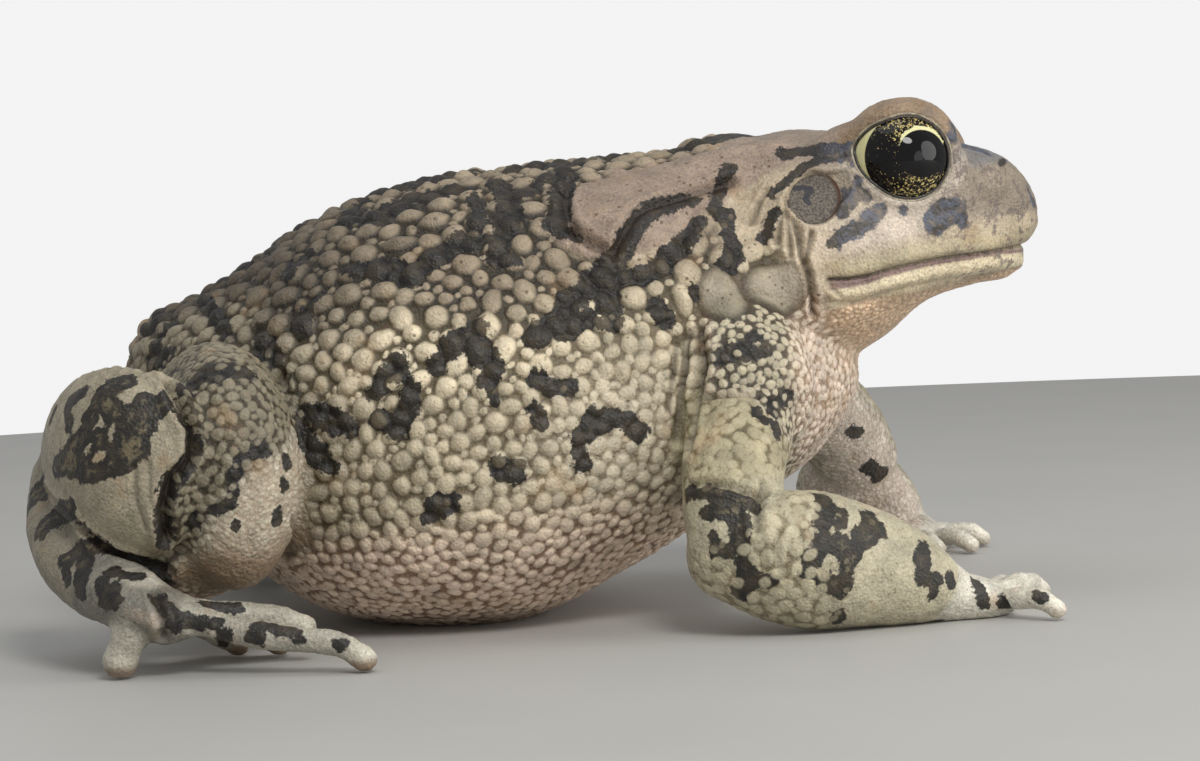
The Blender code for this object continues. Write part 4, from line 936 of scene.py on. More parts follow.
def blended_zones(points, normals, weights):
    """Largest and smallest wart, height to radius, spread, and both colours at each point."""
    head_place = unturned_array(points)
    beyond_neck = (head_place - np.array(NECK_POINT)) @ np.array(NECK_NORMAL)
    over_mouth = (head_place - np.array(MOUTH_POINT)) @ np.array(MOUTH_NORMAL)
    x, z = points[:, 0], points[:, 2]
    shares = {name: np.zeros(len(points)) for name in ZONES}
    shares["flank"] += 1.0

    def lay(name, share):
        for other in shares.values():
            other *= 1 - share
        shares[name] += share

    lay("back", smooth_ramp(0.12, 0.55, normals[:, 2]) * smooth_ramp(28, 36, z + noise(points, 6.0, 6) * 3))
    lay("low_flank", smooth_ramp(29.0, 21.0, z + noise(points, 7.0, 5) * 2.5 - 0.25 * np.abs(x)))
    lay("pale_side", hump(x, 22.0, 9.0) * hump(z, 19.0, 7.5))
    lay("belly", smooth_ramp(14.0, 7.0, z + noise(points, 7.0, 5) * 2.0))
    lay("chest", smooth_ramp(28.5, 31.5, x) * smooth_ramp(37.0, 31.0, z))
    lay("head", smooth_ramp(-2.5, 1.0, beyond_neck) * smooth_ramp(-1.0, 0.3, over_mouth))
    lay("head", smooth_ramp(MOUTH_CORNER - 1.5, MOUTH_CORNER, head_place[:, 0])
        * smooth_ramp(-LOWER_LIP - 0.5, -LOWER_LIP, over_mouth))
    lay("head", smooth_ramp(30.0, 34.0, x) * smooth_ramp(37.0, 39.5, z))
    lay("throat", smooth_ramp(-1.5, 2.0, beyond_neck)
        * smooth_ramp(-LOWER_LIP + 0.1, -LOWER_LIP - 0.5, over_mouth))
    lay("gland", weights["gland"])
    near_side = points[:, 1] < 0
    arm_place = x - np.where(near_side, 0.0, further_forward(ARM, "upper_arm"))
    leg_place = x - np.where(near_side, 0.0, further_forward(LEG, "shank"))
    arm_top = ARM_TOP - ARM_TOP_SLOPE * np.maximum(arm_place - ARM_TOP_BEND, 0.0) * near_side
    on_arm = smooth_ramp(0.7, -0.7, z - arm_top + noise(points, 3.0, 9) * 0.8)
    behind_knee = smooth_ramp(0.5, -0.3, leg_place - np.interp(z, *KNEE_LINE))
    behind_flank = smooth_ramp(THIGH_FRONT + 0.8, THIGH_FRONT - 0.8, leg_place)
    limits = {"upper_arm": on_arm, "shank": behind_knee, "thigh": behind_flank}
    for zone in ("upper_arm", "forearm", "hand", "thigh", "shank", "tarsus", "foot"):
        lay(zone, weights[zone] * limits.get(zone, 1.0))
    lay("chest", weights["upper_arm"] * (1 - on_arm) * smooth_ramp(28.5, 31.5, x))
    lay("shoulder", shares["chest"] * smooth_ramp(41.0, 37.0, arm_place + noise(points, 4.0, 10)))
    # Paler inner faces of the arms, brightened further as painted light on the far arm, which the lamps
    # leave in shade.
    inner = smooth_ramp(0.1, 0.7, normals[:, 1] * np.where(near_side, 1.0, -1.0))
    lay("inner_limb_pale_and_painted_light", np.maximum(weights["upper_arm"] * on_arm, weights["forearm"]) * inner)
    # The cream front of the thigh carries a painted highlight; the brownish-pink part under it is painted
    # darker as shade.
    low_thigh_cream_and_highlight = smooth_ramp(15.5, 11.5, z - (x + 20.0) + noise(points, 4.0, 8) * 1.5)
    lay("low_thigh_cream_and_highlight", weights["thigh"] * behind_flank * low_thigh_cream_and_highlight * (1 - weights["shank"] * behind_knee))
    lay("under_thigh_brown_and_shade", shares["low_thigh_cream_and_highlight"] * smooth_ramp(14.0, 9.5, z + noise(points, 3.0, 11)))
    elbow = np.where(near_side, ARM["right"]["forearm"][0][0], ARM["left"]["forearm"][0][0])
    at_elbow = smooth_ramp(12.0, 7.0, x - elbow) * (1 - inner)
    lay("elbow", weights["forearm"] * (1 - weights["upper_arm"]) * at_elbow)
    lay("hand", weights["finger"])
    lay("toe", weights["toe"])

    table = {name: np.array([*row[:4], *row[4], *row[5]]) for name, row in ZONES.items()}
    mixed = sum(share[:, None] * table[name] for name, share in shares.items())
    mixed[:, 2] *= 1 - 0.8 * smooth_ramp(3.0, 0.5, z)
    return mixed, shares


def camera_axes():
    """The camera's right, up and forward directions."""
    forward = Vector((0.0, math.cos(CAMERA_PITCH), -math.sin(CAMERA_PITCH)))
    level_up = Vector((0.0, math.sin(CAMERA_PITCH), math.cos(CAMERA_PITCH)))
    level_right = Vector((1.0, 0.0, 0.0))
    right = level_right * math.cos(CAMERA_ROLL) - level_up * math.sin(CAMERA_ROLL)
    up = level_up * math.cos(CAMERA_ROLL) + level_right * math.sin(CAMERA_ROLL)
    return right, up, forward


def seen_at(tree, px, py):
    """The place on the skin that the photograph shows at this pixel, and millimetres to a pixel there."""
    right, up, forward = camera_axes()
    pixels = CAMERA_LENS / SENSOR_WIDTH * PHOTO_WIDTH
    way = forward + right * ((px - PHOTO_WIDTH / 2) / pixels) - up * ((py - PHOTO_HEIGHT / 2) / pixels)
    place, out, _, _ = tree.ray_cast(CAMERA_PLACE, way.normalized())
    if place is None:
        return None, None, None
    return place, out, (place - CAMERA_PLACE).dot(forward) / pixels


def seen_chain(tree, chain):
    """A chain of x, y and half width in pixels as places and half widths in millimetres."""
    found = []
    for px, py, half in chain:
        place, _, scale = seen_at(tree, px, py)
        if place is not None:
            found.append((*place, half * scale))
    return found


def other_side(point, forms):
    """The matching place on the toad's left, which follows that side's own limbs."""
    best, match = 1.35, None
    for zone, side, rows in forms:
        if side != "right":
            continue
        for k in range(21):
            sample = catmull(rows, k / 20)
            reach = (Vector(sample[:3]) - Vector(point[:3])).length / ((sample[3] + sample[4]) / 2)
            if reach < best:
                best, match = reach, (zone, forms.index((zone, side, rows)), k / 20)
    if match is None:
        return (point[0], -point[1], point[2], point[3])
    zone, index, t = match
    near = Vector(catmull(forms[index][2], t)[:3])
    far = Vector(catmull(forms[index + len(forms) // 2][2], t)[:3])
    offset = Vector(point[:3]) - near
    offset.y = -offset.y
    return (*(far + offset), point[3])


def chain_depth(points, chain):
    """How deep each point lies inside a chain of places and half widths, negative outside."""
    chain = np.array(chain)
    near = close_to(points, chain[:, :3], chain[:, 3].max() + CHAIN_REACH)
    depth = np.full(len(points), -FAR_OFF)
    if not len(near):
        return depth
    some = np.full(len(near), -FAR_OFF)
    for a, b in zip(chain, chain[1:]):
        step = b[:3] - a[:3]
        t = np.clip((points[near] - a[:3]) @ step / max(step @ step, 1e-9), 0, 1)
        distance = np.linalg.norm(points[near] - a[:3] - t[:, None] * step, axis=1)
        some = np.maximum(some, a[3] + (b[3] - a[3]) * t - distance)
    depth[near] = some
    return depth


def back_chain(tree, chain, sign):
    """A chain of the back, seen from above, as places and half widths on this side."""
    places = []
    for x, y, half in chain:
        start = Vector((x, y * sign, LOOK_FROM))
        start = turned(start) if x > HEAD_PIVOT.x else start
        places.append((*tree.ray_cast(start, -UPWARD)[0], half))
    return places


def mark_depth(points, tree, forms):
    """How deep each point lies inside the dark marks, in millimetres, negative outside."""
    drift = np.stack([noise(points, 14.0, seed) for seed in (21, 22, 23)], axis=1)
    far_points = points + drift * FAR_SIDE_DRIFT
    depths = []
    for marks in (DARK_MARKS, LIGHT_MARKS):
        depth = np.full(len(points), -FAR_OFF)
        for chain in marks.values():
            places = seen_chain(tree, chain)
            if len(places) < 2:
                continue
            mirror = [other_side(place, forms) for place in places]
            depth = np.maximum(depth, chain_depth(points, places))
            depth = np.maximum(depth, chain_depth(far_points, mirror))
        depths.append(depth)
    dark, light = depths
    for chain in BACK_MARKS.values():
        dark = np.maximum(dark, chain_depth(points, back_chain(tree, chain, -1.0)))
        dark = np.maximum(dark, chain_depth(far_points, back_chain(tree, chain, 1.0)))
    return np.minimum(dark + MARK_GROWTH, -light)


def large_warts(tree, forms):
    """The glands and warts that stand out: place, out, half width, half height and direction."""
    found = []
    for px, py, half_width, half_height, slant in LARGE_WARTS:
        place, out, scale = seen_at(tree, px, py)
        if place is None:
            continue
        level = (FORWARD - out * out.x).normalized()
        turn = math.radians(slant)
        first = level * math.cos(turn) + out.cross(level) * math.sin(turn)
        sizes = (half_width * scale, half_height * scale)
        found.append((place, out, *sizes, first))
        mirror = other_side((*place, 0.0), forms)
        far_place, far_out = tree.find_nearest(Vector(mirror[:3]))[:2]
        found.append((far_place, far_out, *sizes, Vector((first.x, -first.y, first.z))))
    return found


def scatter_warts(points, normals, zones, fixed):
    """Warts as arrays: centre, out, first half width, second half width, height, first direction."""
    draw = np.random.default_rng(WART_SEED)
    tree = point_tree(points)
    clear = np.full(len(points), FAR_OFF)
    warts = []

    def settle(centre, out, half_a, half_b, height, first, spread=1.0):
        found = tree.find_range(centre, max(half_a, half_b) + WART_SIZES[0])
        indices = [item[1] for item in found]
        distances = np.array([item[2] for item in found]) - (half_a + half_b) / 2
        clear[indices] = np.minimum(clear[indices], distances)
        warts.append((*centre, *out, half_a * spread, half_b * spread, height, *first))

    for place, out, half_width, half_height, first in fixed:
        lift = max(zones[tree.find(place)[1], 2], LEAST_LIFT)
        middling = (half_width + half_height) / 2
        share = WART_FULLNESS if middling < GLAND_SIZE else GLAND_FULLNESS
        settle(place, out, half_width, half_height, lift * middling * share, first)
    order = draw.permutation(len(points))
    for size in WART_SIZES:
        gap = size * WART_PACKING
        fits = (zones[order, 0] >= size) & (zones[order, 1] <= size) & (clear[order] > gap)
        share = WART_SHARE if size > SPARSE_SIZE else 1.0
        for index in order[fits]:
            if clear[index] <= gap or draw.random() > share:
                continue
            out = Vector(normals[index])
            spin = draw.uniform(0, 2 * math.pi)
            across = out.orthogonal().normalized()
            first = across * math.cos(spin) + out.cross(across) * math.sin(spin)
            stretch = draw.uniform(1.0, 1.2)
            radius = size * draw.uniform(0.9, 1.08)
            height = radius * zones[index, 2] * draw.uniform(0.8, 1.15)
            halves = (radius * stretch, radius / stretch)
            settle(Vector(points[index]), out, *halves, height, first, zones[index, 3])
    return np.array(warts)


def raise_warts(points, normals, warts):
    """Height of the warts at each point, how far up its wart each point is, and which wart it is on."""
    tree = point_tree(points)
    owners, touched = [], []
    for number, wart in enumerate(warts):
        found = [item[1] for item in tree.find_range(Vector(wart[:3]), max(wart[6], wart[7]) * 1.2)]
        touched.append(np.array(found, np.int64))
        owners.append(np.full(len(found), number))
    touched, owners = np.concatenate(touched), np.concatenate(owners)
    wobble = np.stack([noise(points, 0.9, seed) for seed in (1, 2, 3)], axis=1) * WART_WOBBLE
    away = points[touched] + wobble[touched] - warts[owners, :3]
    first = warts[owners, 9:12]
    second = np.cross(warts[owners, 3:6], first)
    across = np.einsum("ij,ij->i", away, first) / warts[owners, 6]
    along = np.einsum("ij,ij->i", away, second) / warts[owners, 7]
    facing = np.einsum("ij,ij->i", normals[touched], warts[owners, 3:6]) > 0.25
    distance = np.sqrt(across ** 2 + along ** 2)
    dome = (1 - np.clip(distance, 0, 1) ** 2) ** 1.1 * facing
    height = dome * warts[owners, 8]
    sequence = np.argsort(height)
    heights, domes = np.zeros(len(points)), np.zeros(len(points))
    owner = np.full(len(points), -1)
    heights[touched[sequence]] = height[sequence]
    domes[touched[sequence]] = dome[sequence]
    owner[touched[sequence]] = np.where(height[sequence] > 0, owners[sequence], -1)
    return heights, domes, owner


def lid_reach():
    """Reach of the opening for each whole degree."""
    closed = list(LID_OUTLINE) + [(LID_OUTLINE[0][0] + 360, LID_OUTLINE[0][1])]
    ring = closed[-3:-1]
    rows = [(a - 360, r) for a, r in ring] + closed + [(a + 360, r) for a, r in LID_OUTLINE[1:3]]
    samples = [catmull(rows, k / 400) for k in range(401)]
    degrees = [s[0] for s in samples]
    reaches = [s[1] for s in samples]
    return np.interp(np.arange(360), degrees, reaches)


def eye_frame(side):
    """Centre, axis, forward and upward directions of the eye."""
    centre = turned(on_side(EYE_CENTRE, side))
    axis = turned_direction(on_side(EYE_AXIS, side))
    ahead = turned_direction(FORWARD)
    ahead = (ahead - axis * ahead.dot(axis)).normalized()
    up = axis.cross(ahead) if side == "left" else ahead.cross(axis)
    if up.z < 0:
        up = -up
    return centre, axis, ahead, up


def open_eye(points, side):
    """Rolls the lids down to the eyeball and hollows the skin behind it."""
    centre, axis, ahead, up = (np.array(v) for v in eye_frame(side))
    away = points - centre
    distance = np.maximum(np.linalg.norm(away, axis=1), 0.1)
    depth = away @ axis
    around = np.degrees(np.arctan2(away @ up, away @ ahead)) % 360
    rim = EYE_RADIUS + LID_GAP
    edge = np.arcsin(np.interp(around, np.arange(360), lid_reach(), period=360) / rim)
    outside = (np.arccos(np.clip(depth / distance, -1, 1)) - edge) * rim
    roll = np.clip(outside / LID_ROLL, 0, 1)
    rolled = rim + (LID_RADIUS - rim) * np.sqrt(1 - (1 - roll) ** 2)
    wanted = rolled + (distance - rolled) * smooth_ramp(0.5 * LID_ROLL, 1.5 * LID_ROLL, outside)
    sunk = EYE_RADIUS - 0.9
    wanted = np.where(outside < 0, sunk + (rim - sunk) * smooth_ramp(-0.2, 0.0, outside), wanted)
    wanted = np.minimum(wanted, distance)
    chosen = (depth > 0) & (distance < LID_RADIUS + 2.5) & (outside < 1.5 * LID_ROLL)
    scale = np.where(chosen, wanted / np.maximum(distance, 0.1), 1.0)
    return centre + away * scale[:, None]


def height_over_mouth(place):
    """Height over the mouth's line, which bows up a little along the head."""
    bow = np.interp(place[:, 0], *MOUTH_BOW)
    return (place - np.array(MOUTH_POINT)) @ np.array(MOUTH_NORMAL) - bow


def face_relief(points, tree):
    """Heights of the lips, nostrils and ear rims, the painted shade of their hollows and the nostrils'
    depth.
    """
    seen = unturned_array(np.array([seen_at(tree, *NOSTRIL_PIXEL)[0]]))[0]
    lean = math.radians(NOSTRIL_LEAN)
    inward = np.zeros(len(points))
    place = unturned_array(points)
    x, y, z = place.T
    over = height_over_mouth(place)
    mouth = smooth_ramp(MOUTH_CORNER - 0.4, MOUTH_CORNER + 0.6, x)
    forward = smooth_ramp(MOUTH_CORNER, 54.0, x)
    tip = smooth_ramp(62.0, 66.3, x)
    # The slit, the upper lip, the inside of the lower lip, its roll, the groove under it, the set-back chin.
    height = (0.35 * tip - 0.75) * hump(over, 0.0, 0.22) * mouth
    height += (0.14 + 0.22 * forward * (1 - tip)) * hump(over, 0.9, 0.6) * mouth
    height -= 0.22 * hump(over, -0.55, 0.3) * mouth * (1 - tip)
    height += 0.34 * hump(over, -1.45, 0.5) * mouth * (1 - tip)
    groove_fade = smooth_ramp(MOUTH_CORNER, 47.0, x) * smooth_ramp(66.0, 63.5, x)
    height -= 0.42 * hump(over, -LOWER_LIP - 0.25, 0.32) * groove_fade
    height -= 1.2 * smooth_ramp(2.6, -0.3, over) * smooth_ramp(-4.4, 0.2, over) * tip
    # Painted shade along the mouth's slit, fainter towards the snout.
    painted_shade = hump(over, 0.0, 0.16) * mouth * (1 - 0.45 * smooth_ramp(MOUTH_CORNER + 1.0, 52.0, x))
    for side in SIDES:
        sign = mirrored(side)
        # The nostril is a leaning oval pit with a raised rim and a slit behind it.
        here = (y * sign > 2.0) & (np.abs(y - abs(seen[1]) * sign) < 3.0)
        ahead, above = x - seen[0], z - seen[2]
        length = (ahead * math.cos(lean) + above * math.sin(lean)) / NOSTRIL_RADII[0]
        width = (above * math.cos(lean) - ahead * math.sin(lean)) / NOSTRIL_RADII[1]
        reach = np.hypot(length, width)
        height += 0.16 * hump(reach, 1.9, 0.6) * here
        inward -= sign * NOSTRIL_DEPTH * smooth_ramp(1.3, 0.5, reach) * here
        slit = hump(above + 0.05, 0.0, 0.13) * here
        slit *= smooth_ramp(-2.15, -1.9, ahead) * smooth_ramp(-0.95, -1.2, ahead)
        height -= 0.45 * slit
        # The ear has a raised rim round a sunk place for the drum.
        ear = np.hypot(x - EAR_PLACE[0], z - EAR_PLACE[1])
        at_ear = y * sign > 6
        height += 0.24 * hump(ear, EAR_RADIUS + 0.3, 0.34) * at_ear
        height -= 0.8 * smooth_ramp(EAR_RADIUS, EAR_RADIUS - 0.3, ear) * at_ear
        ear_shade = 0.7 * hump(ear, EAR_RADIUS, 0.16) * at_ear * smooth_ramp(-2.0, 2.0, x - EAR_PLACE[0])
        # Painted shade in the nostril's pit and slit, and along the front of the ear's rim.
        for shade in (smooth_ramp(1.35, 0.9, reach) * here, 0.9 * slit, ear_shade):
            painted_shade = np.maximum(painted_shade, shade)
    return height, painted_shade, inward


def face_colours(points, colours, share):
    """The head's own colours laid over the zone's: lids, crown, cheek, lips and snout."""
    place = unturned_array(points)
    x, y, z = place.T
    over = height_over_mouth(place)
    gape = np.interp(x, (MOUTH_CORNER, 52.0, 62.0), (1.0, 0.55, 0.3))
    mouth = smooth_ramp(MOUTH_CORNER - 0.5, MOUTH_CORNER + 1.0, x)
    centres = [np.array(on_side(EYE_CENTRE, side)) for side in SIDES]
    eye = np.min([np.linalg.norm(place - centre, axis=1) for centre in centres], axis=0)
    above_eye = smooth_ramp(-1.0, 2.5, z - EYE_CENTRE.z)
    wander = noise(points, 3.0, 41)
    lower_lip = smooth_ramp(0.0, -0.2, over) * smooth_ramp(-LOWER_LIP - 1.2, -LOWER_LIP - 0.5, over)
    inner_lip = smooth_ramp(-0.15, 0.1, over + gape + 0.15 * wander) * smooth_ramp(0.15, -0.05, over)
    layers = (
        (CROWN_COLOUR, smooth_ramp(44.0, 47.5, z + wander * 1.5)),
        (SNOUT_COLOUR, smooth_ramp(56.0, 60.0, x + wander) * smooth_ramp(3.0, 5.0, over + wander)),
        (CHEEK_COLOUR, hump(x, 52.0, 6.5) * hump(over, 4.2, 2.6)),
        # The snout's top: darker skin with a painted bluish sheen of the sky.
        (SNOUT_TOP_DARK_AND_SHEEN, 0.7 * smooth_ramp(45.0, 46.4, z + wander * 0.8) * smooth_ramp(56.0, 60.0, x)),
        (LID_COLOUR, smooth_ramp(LID_RADIUS + 1.2, LID_RADIUS + 0.3, eye) * above_eye),
        (LOWER_LID_COLOUR, smooth_ramp(LID_RADIUS + 0.8, LID_RADIUS + 0.1, eye) * (1 - above_eye) * 0.8),
        (LIP_COLOUR, hump(over, 1.1, 1.2) * mouth),
        (LOWER_LIP_COLOUR, lower_lip * mouth),
        (INNER_LIP_COLOUR, inner_lip * mouth),
    )
    for colour, amount in layers:
        colours = colours + (np.array(colour) - colours) * (amount * share)[:, None]
    return colours


def fold_relief(points, tree, forms):
    """Heights of the folds and the painted shade in their hollows, on both sides."""
    relief, painted_shade = np.zeros(len(points)), np.zeros(len(points))
    for half, depth, chain in FOLDS.values():
        places = [(*place[:3], half) for place in seen_chain(tree, [(px, py, 0.0) for px, py in chain])]
        if len(places) < 2:
            continue
        shade = FOLD_SHADE * min(2.0 * depth, 1.0)
        for line in (places, [other_side(place, forms) for place in places]):
            away = np.clip(half - chain_depth(points, line), 0, FAR_OFF)
            relief += depth * (0.35 * hump(away, 2.2 * half, half) - hump(away, 0.0, half))
            # Painted shade along the hollow of each fold.
            painted_shade = np.maximum(painted_shade, shade * hump(away, 0.0, 0.7 * half))
    return relief, painted_shade


def base_skin():
    """The fused, smoothed skin before its warts, its points, the limb forms and the limb weights."""
    bm = bmesh.new()
    core_forms(bm)
    core = remesh(bm, "core", CORE_VOXEL)
    core_tree = surface_tree(core.data)
    bpy.data.objects.remove(core)

    forms = limb_forms()
    parotoids = [parotoid_rows(core_tree, side) for side in SIDES]
    bm = bmesh.new()
    core_forms(bm)
    for zone, _, rows in forms:
        if zone in DIGITS:
            tube(bm, rows, DIGIT_SIDES, DIGIT_RINGS)
        else:
            tube(bm, rows, TUBE_SIDES, TUBE_RINGS, FORWARD if zone == "upper_arm" else UPWARD)
    for rows, up in parotoids:
        tube(bm, rows, TUBE_SIDES, TUBE_RINGS, up)
    swellings(bm)
    skin = remesh(bm, "skin", SKIN_VOXEL)
    points = points_of(skin.data)
    weights = limb_weights(points, forms, parotoids)
    small = np.maximum(weights["finger"], weights["toe"])
    points = relaxed(skin.data, points, 1.0 - 0.5 * small, SKIN_SMOOTHING)
    softened = np.maximum(fillet_strength(points), 0.8 * weights["gland"])
    points = relaxed(skin.data, points, softened, FILLET_SMOOTHING, 0.0)
    set_points(skin.data, points)
    return skin, points, forms, weights


def finer(skin, weights):
    """Splits the skin's faces once. Gives the new points, normals and limb weights."""
    for name, values in weights.items():
        set_field(skin.data, name, values)
    modifier = skin.modifiers.new("finer", "SUBSURF")
    modifier.levels = modifier.render_levels = 1
    mesh = apply_modifiers(skin)
    return points_of(mesh), normals_of(mesh), {name: get_field(mesh, name) for name in weights}


def toe_tips(points, forms):
    """1 at the underside of the toes' tips, half that at the fingers' and 0 elsewhere."""
    tips = np.zeros(len(points))
    for zone, _, rows in forms:
        if zone in DIGITS:
            away = np.linalg.norm(points - np.array(rows[-1][:3]), axis=1)
            tips = np.maximum(tips, smooth_ramp(3.2, 1.2, away) * (1.0 if zone == "toe" else 0.5))
    return tips


def build_skin():
    """The one skin over the whole toad, with its markings as fields."""
    skin, points, forms, weights = base_skin()
    tree = surface_tree(skin.data)
    normals = normals_of(skin.data)
    zones, shares = blended_zones(points, normals, weights)
    warts = scatter_warts(points, normals, zones, large_warts(tree, forms))
    points, normals, weights = finer(skin, weights)
    zones, shares = blended_zones(points, normals, weights)
    heights, domes, owner = raise_warts(points, normals, warts)

    draw = np.random.default_rng(WART_SEED + 1)
    tone = np.append(draw.uniform(-1, 1, len(warts)), 0.0)[owner]
    mark = mark_depth(points, tree, forms)
    at_wart = np.append(mark_depth(warts[:, :3], tree, forms), -FAR_OFF)
    follow = MARK_FOLLOWS_WART * smooth_ramp(0.05, 0.4, domes) * (owner >= 0)
    mark = mark * (1 - follow) + at_wart[owner] * follow

    sunk = GAP_DEPTH * zones[:, 2] * np.minimum(zones[:, 0], 1.2) * (zones[:, 0] > zones[:, 1])
    relief = heights - sunk + 0.16 * noise(points, 5.0, 31) + 0.05 * noise(points, 0.5, 32)
    face, face_painted_shade, inward = face_relief(points, tree)
    folds, fold_painted_shade = fold_relief(points, tree, forms)
    across = np.array(turned_direction(Vector((0, 1, 0))))
    points = points + normals * (relief + face + folds)[:, None] + inward[:, None] * across
    for side in SIDES:
        points = open_eye(points, side)
    points[:, 2] = np.maximum(points[:, 2], FLOOR_GAP)
    set_points(skin.data, points)

    head, x = shares["head"], points[:, 0]
    tips = toe_tips(points, forms)
    # Darker towards the rump on the back and flanks: partly the skin's own colour, partly painted shade
    # where the rump turns from the light.
    darker = 1 - 0.76 * smooth_ramp(8.0, -20.0, x) * shares["back"]
    darker *= 1 - 0.6 * smooth_ramp(2.0, -20.0, x) * (shares["flank"] + shares["low_flank"])
    darker *= 1 - 0.35 * np.append(warts[:, 6] > DULL_SIZE, False)[owner]
    darker = (darker * (1 + 0.4 * tips))[:, None]
    flat = unturned_array(points)
    snout = smooth_ramp(55.0, 60.0, flat[:, 0])
    cheek = hump(flat[:, 0], 51.0, 6.5) * hump(height_over_mouth(flat), 4.0, 3.0)
    beaded_thigh = shares["low_thigh_cream_and_highlight"] + shares["under_thigh_brown_and_shade"]
    on_domes = smooth_ramp(0.3, 0.7, domes) * smooth_ramp(24.0, 34.0, points[:, 2])
    fields = {
        "mark": mark,
        "dome": domes,
        "tone": tone,
        "tip": tips * smooth_ramp(1.9, 0.7, points[:, 2]),
        "wart_colour": face_colours(points, zones[:, 4:7] * darker, head),
        "gap_colour": zones[:, 7:10] * (0.3 + 0.7 * darker),
        "painted_shade": np.maximum(face_painted_shade, fold_painted_shade),
        "mottle": head * (0.38 + 0.5 * snout) * (1 - cheek) + 0.5 * shares["gland"],
        "beaded": shares["throat"] + 0.7 * beaded_thigh + 0.6 * shares["inner_limb_pale_and_painted_light"],
        "islands": sum(shares[name] for name in ("elbow", "thigh", "chest", "shoulder")),
        "brown_inside": sum(shares[name] for name in ("shank", "forearm", "tarsus")),
        # Where the face's marks take their own colours and a painted bluish sheen of the sky.
        "face_marks_and_sheen": head * smooth_ramp(42.0, 47.0, x),
        "pores": np.maximum(weights["gland"], on_domes),
        "smoothness": sum(shares[name] for name in SMOOTH_ZONES),
    }
    for name, values in fields.items():
        set_field(skin.data, name, values)
    skin.name = "skin"
    return skin, tree


class Nodes:
    """A material's nodes, made and linked in one call each."""

    def __init__(self, name):
        self.material = bpy.data.materials.new(name)
        self.material.use_nodes = True
        self.tree = self.material.node_tree
        self.tree.nodes.clear()
        output = self.tree.nodes.new("ShaderNodeOutputMaterial")
        self.shader = self.tree.nodes.new("ShaderNodeBsdfPrincipled")
        self.tree.links.new(self.shader.outputs["BSDF"], output.inputs["Surface"])

    def link(self, value, socket):
        if isinstance(value, bpy.types.NodeSocket):
            self.tree.links.new(value, socket)
        else:
            socket.default_value = value

    def new(self, kind, inputs, **settings):
        """A node of this kind with its settings made and its named inputs linked or filled."""
        node = self.tree.nodes.new(f"ShaderNode{kind}")
        for name, value in settings.items():
            setattr(node, name, value)
        for name, value in inputs.items():
            self.link(value, node.inputs[name])
        return node

    def math(self, operation, *values, clamp=False):
        return self.new("Math", dict(enumerate(values)), operation=operation, use_clamp=clamp).outputs[0]

    def times(self, first, second):
        return self.math("MULTIPLY", first, second)

    def less(self, first, second, clamp=False):
        return self.math("SUBTRACT", first, second, clamp=clamp)

    def scaled(self, value, factor, offset):
        return self.math("MULTIPLY_ADD", value, factor, offset)

    def distance(self, first, second):
        """Distance from 0 of a place whose two coordinates these are."""
        return self.math("SQRT", self.math("ADD", self.times(first, first), self.times(second, second)))

    def ramp(self, low, high, value):
        """0 at low, 1 at high, smooth between."""
        inputs = {"From Min": low, "From Max": high, "Value": value}
        return self.new("MapRange", inputs, interpolation_type="SMOOTHSTEP").outputs["Result"]

    def mix(self, share, first, second):
        first, second = ((*value, 1.0) if isinstance(value, tuple) else value for value in (first, second))
        inputs = {"Factor": share, MIX_FIRST: first, MIX_SECOND: second}
        return self.new("Mix", inputs, data_type="RGBA").outputs[MIX_RESULT]

    def field(self, name, output="Fac"):
        return self.new("Attribute", {}, attribute_name=name).outputs[output]

    def sized(self, vector, factor):
        return self.new("VectorMath", {0: vector, "Scale": factor}, operation="SCALE").outputs[0]

    def place(self):
        """Places in millimetres, steady on the object."""
        return self.sized(self.new("TexCoord", {}).outputs["Object"], 1 / MM)

    def noise(self, place, size, detail=2.0, roughness=0.5):
        inputs = {"Vector": place, "Scale": 1 / size, "Detail": detail, "Roughness": roughness}
        return self.new("TexNoise", inputs).outputs["Fac"]

    def cells(self, place, size, feature="F1"):
        inputs = {"Vector": place, "Scale": 1 / size}
        return self.new("TexVoronoi", inputs, feature=feature).outputs["Distance"]

    def bump(self, height, strength, distance):
        inputs = {"Strength": strength, "Distance": distance, "Height": height}
        return self.new("Bump", inputs).outputs["Normal"]

    def set(self, **values):
        for name, value in values.items():
            self.link(value, self.shader.inputs[name.replace("_", " ")])


def mark_colour(n, place, dome, tone, face_marks_and_sheen, wart_colour):
    """The dark marks' colour: black with brown inside, light on some warts, and on the face a painted bluish
    sheen of the sky.
    """
    black = n.mix(n.ramp(0.45, 0.62, n.noise(place, 1.6, 3.0)), MARK_BLACK, MARK_BROWN)
    inner = n.times(n.ramp(0.5, 1.0, n.field("mark")), n.ramp(0.50, 0.60, n.noise(place, 1.5, 4.0, 0.7)))
    black = n.mix(n.times(inner, n.field("brown_inside")), black, MARK_INSIDE)
    islands = n.field("islands")
    chosen = n.ramp(0.0, 0.3, n.scaled(islands, 0.70, n.less(tone, 0.60)))
    light_top = n.times(n.ramp(0.35, 0.75, dome), chosen)
    black = n.mix(n.times(light_top, 0.8), black, n.mix(islands, MARK_WART, wart_colour))
    # On the face the marks get a painted bluish sheen of the sky.
    sheened_face_mark = n.mix(n.ramp(0.42, 0.58, n.noise(place, 1.1, 4.0, 0.65)), FACE_MARK_BLACK, FACE_MARK_SKY_SHEEN)
    sheened_face_mark = n.mix(n.ramp(0.52, 0.64, n.noise(place, 1.7, 4.0, 0.6)), sheened_face_mark, FACE_MARK_BROWN)
    return n.mix(face_marks_and_sheen, black, sheened_face_mark)


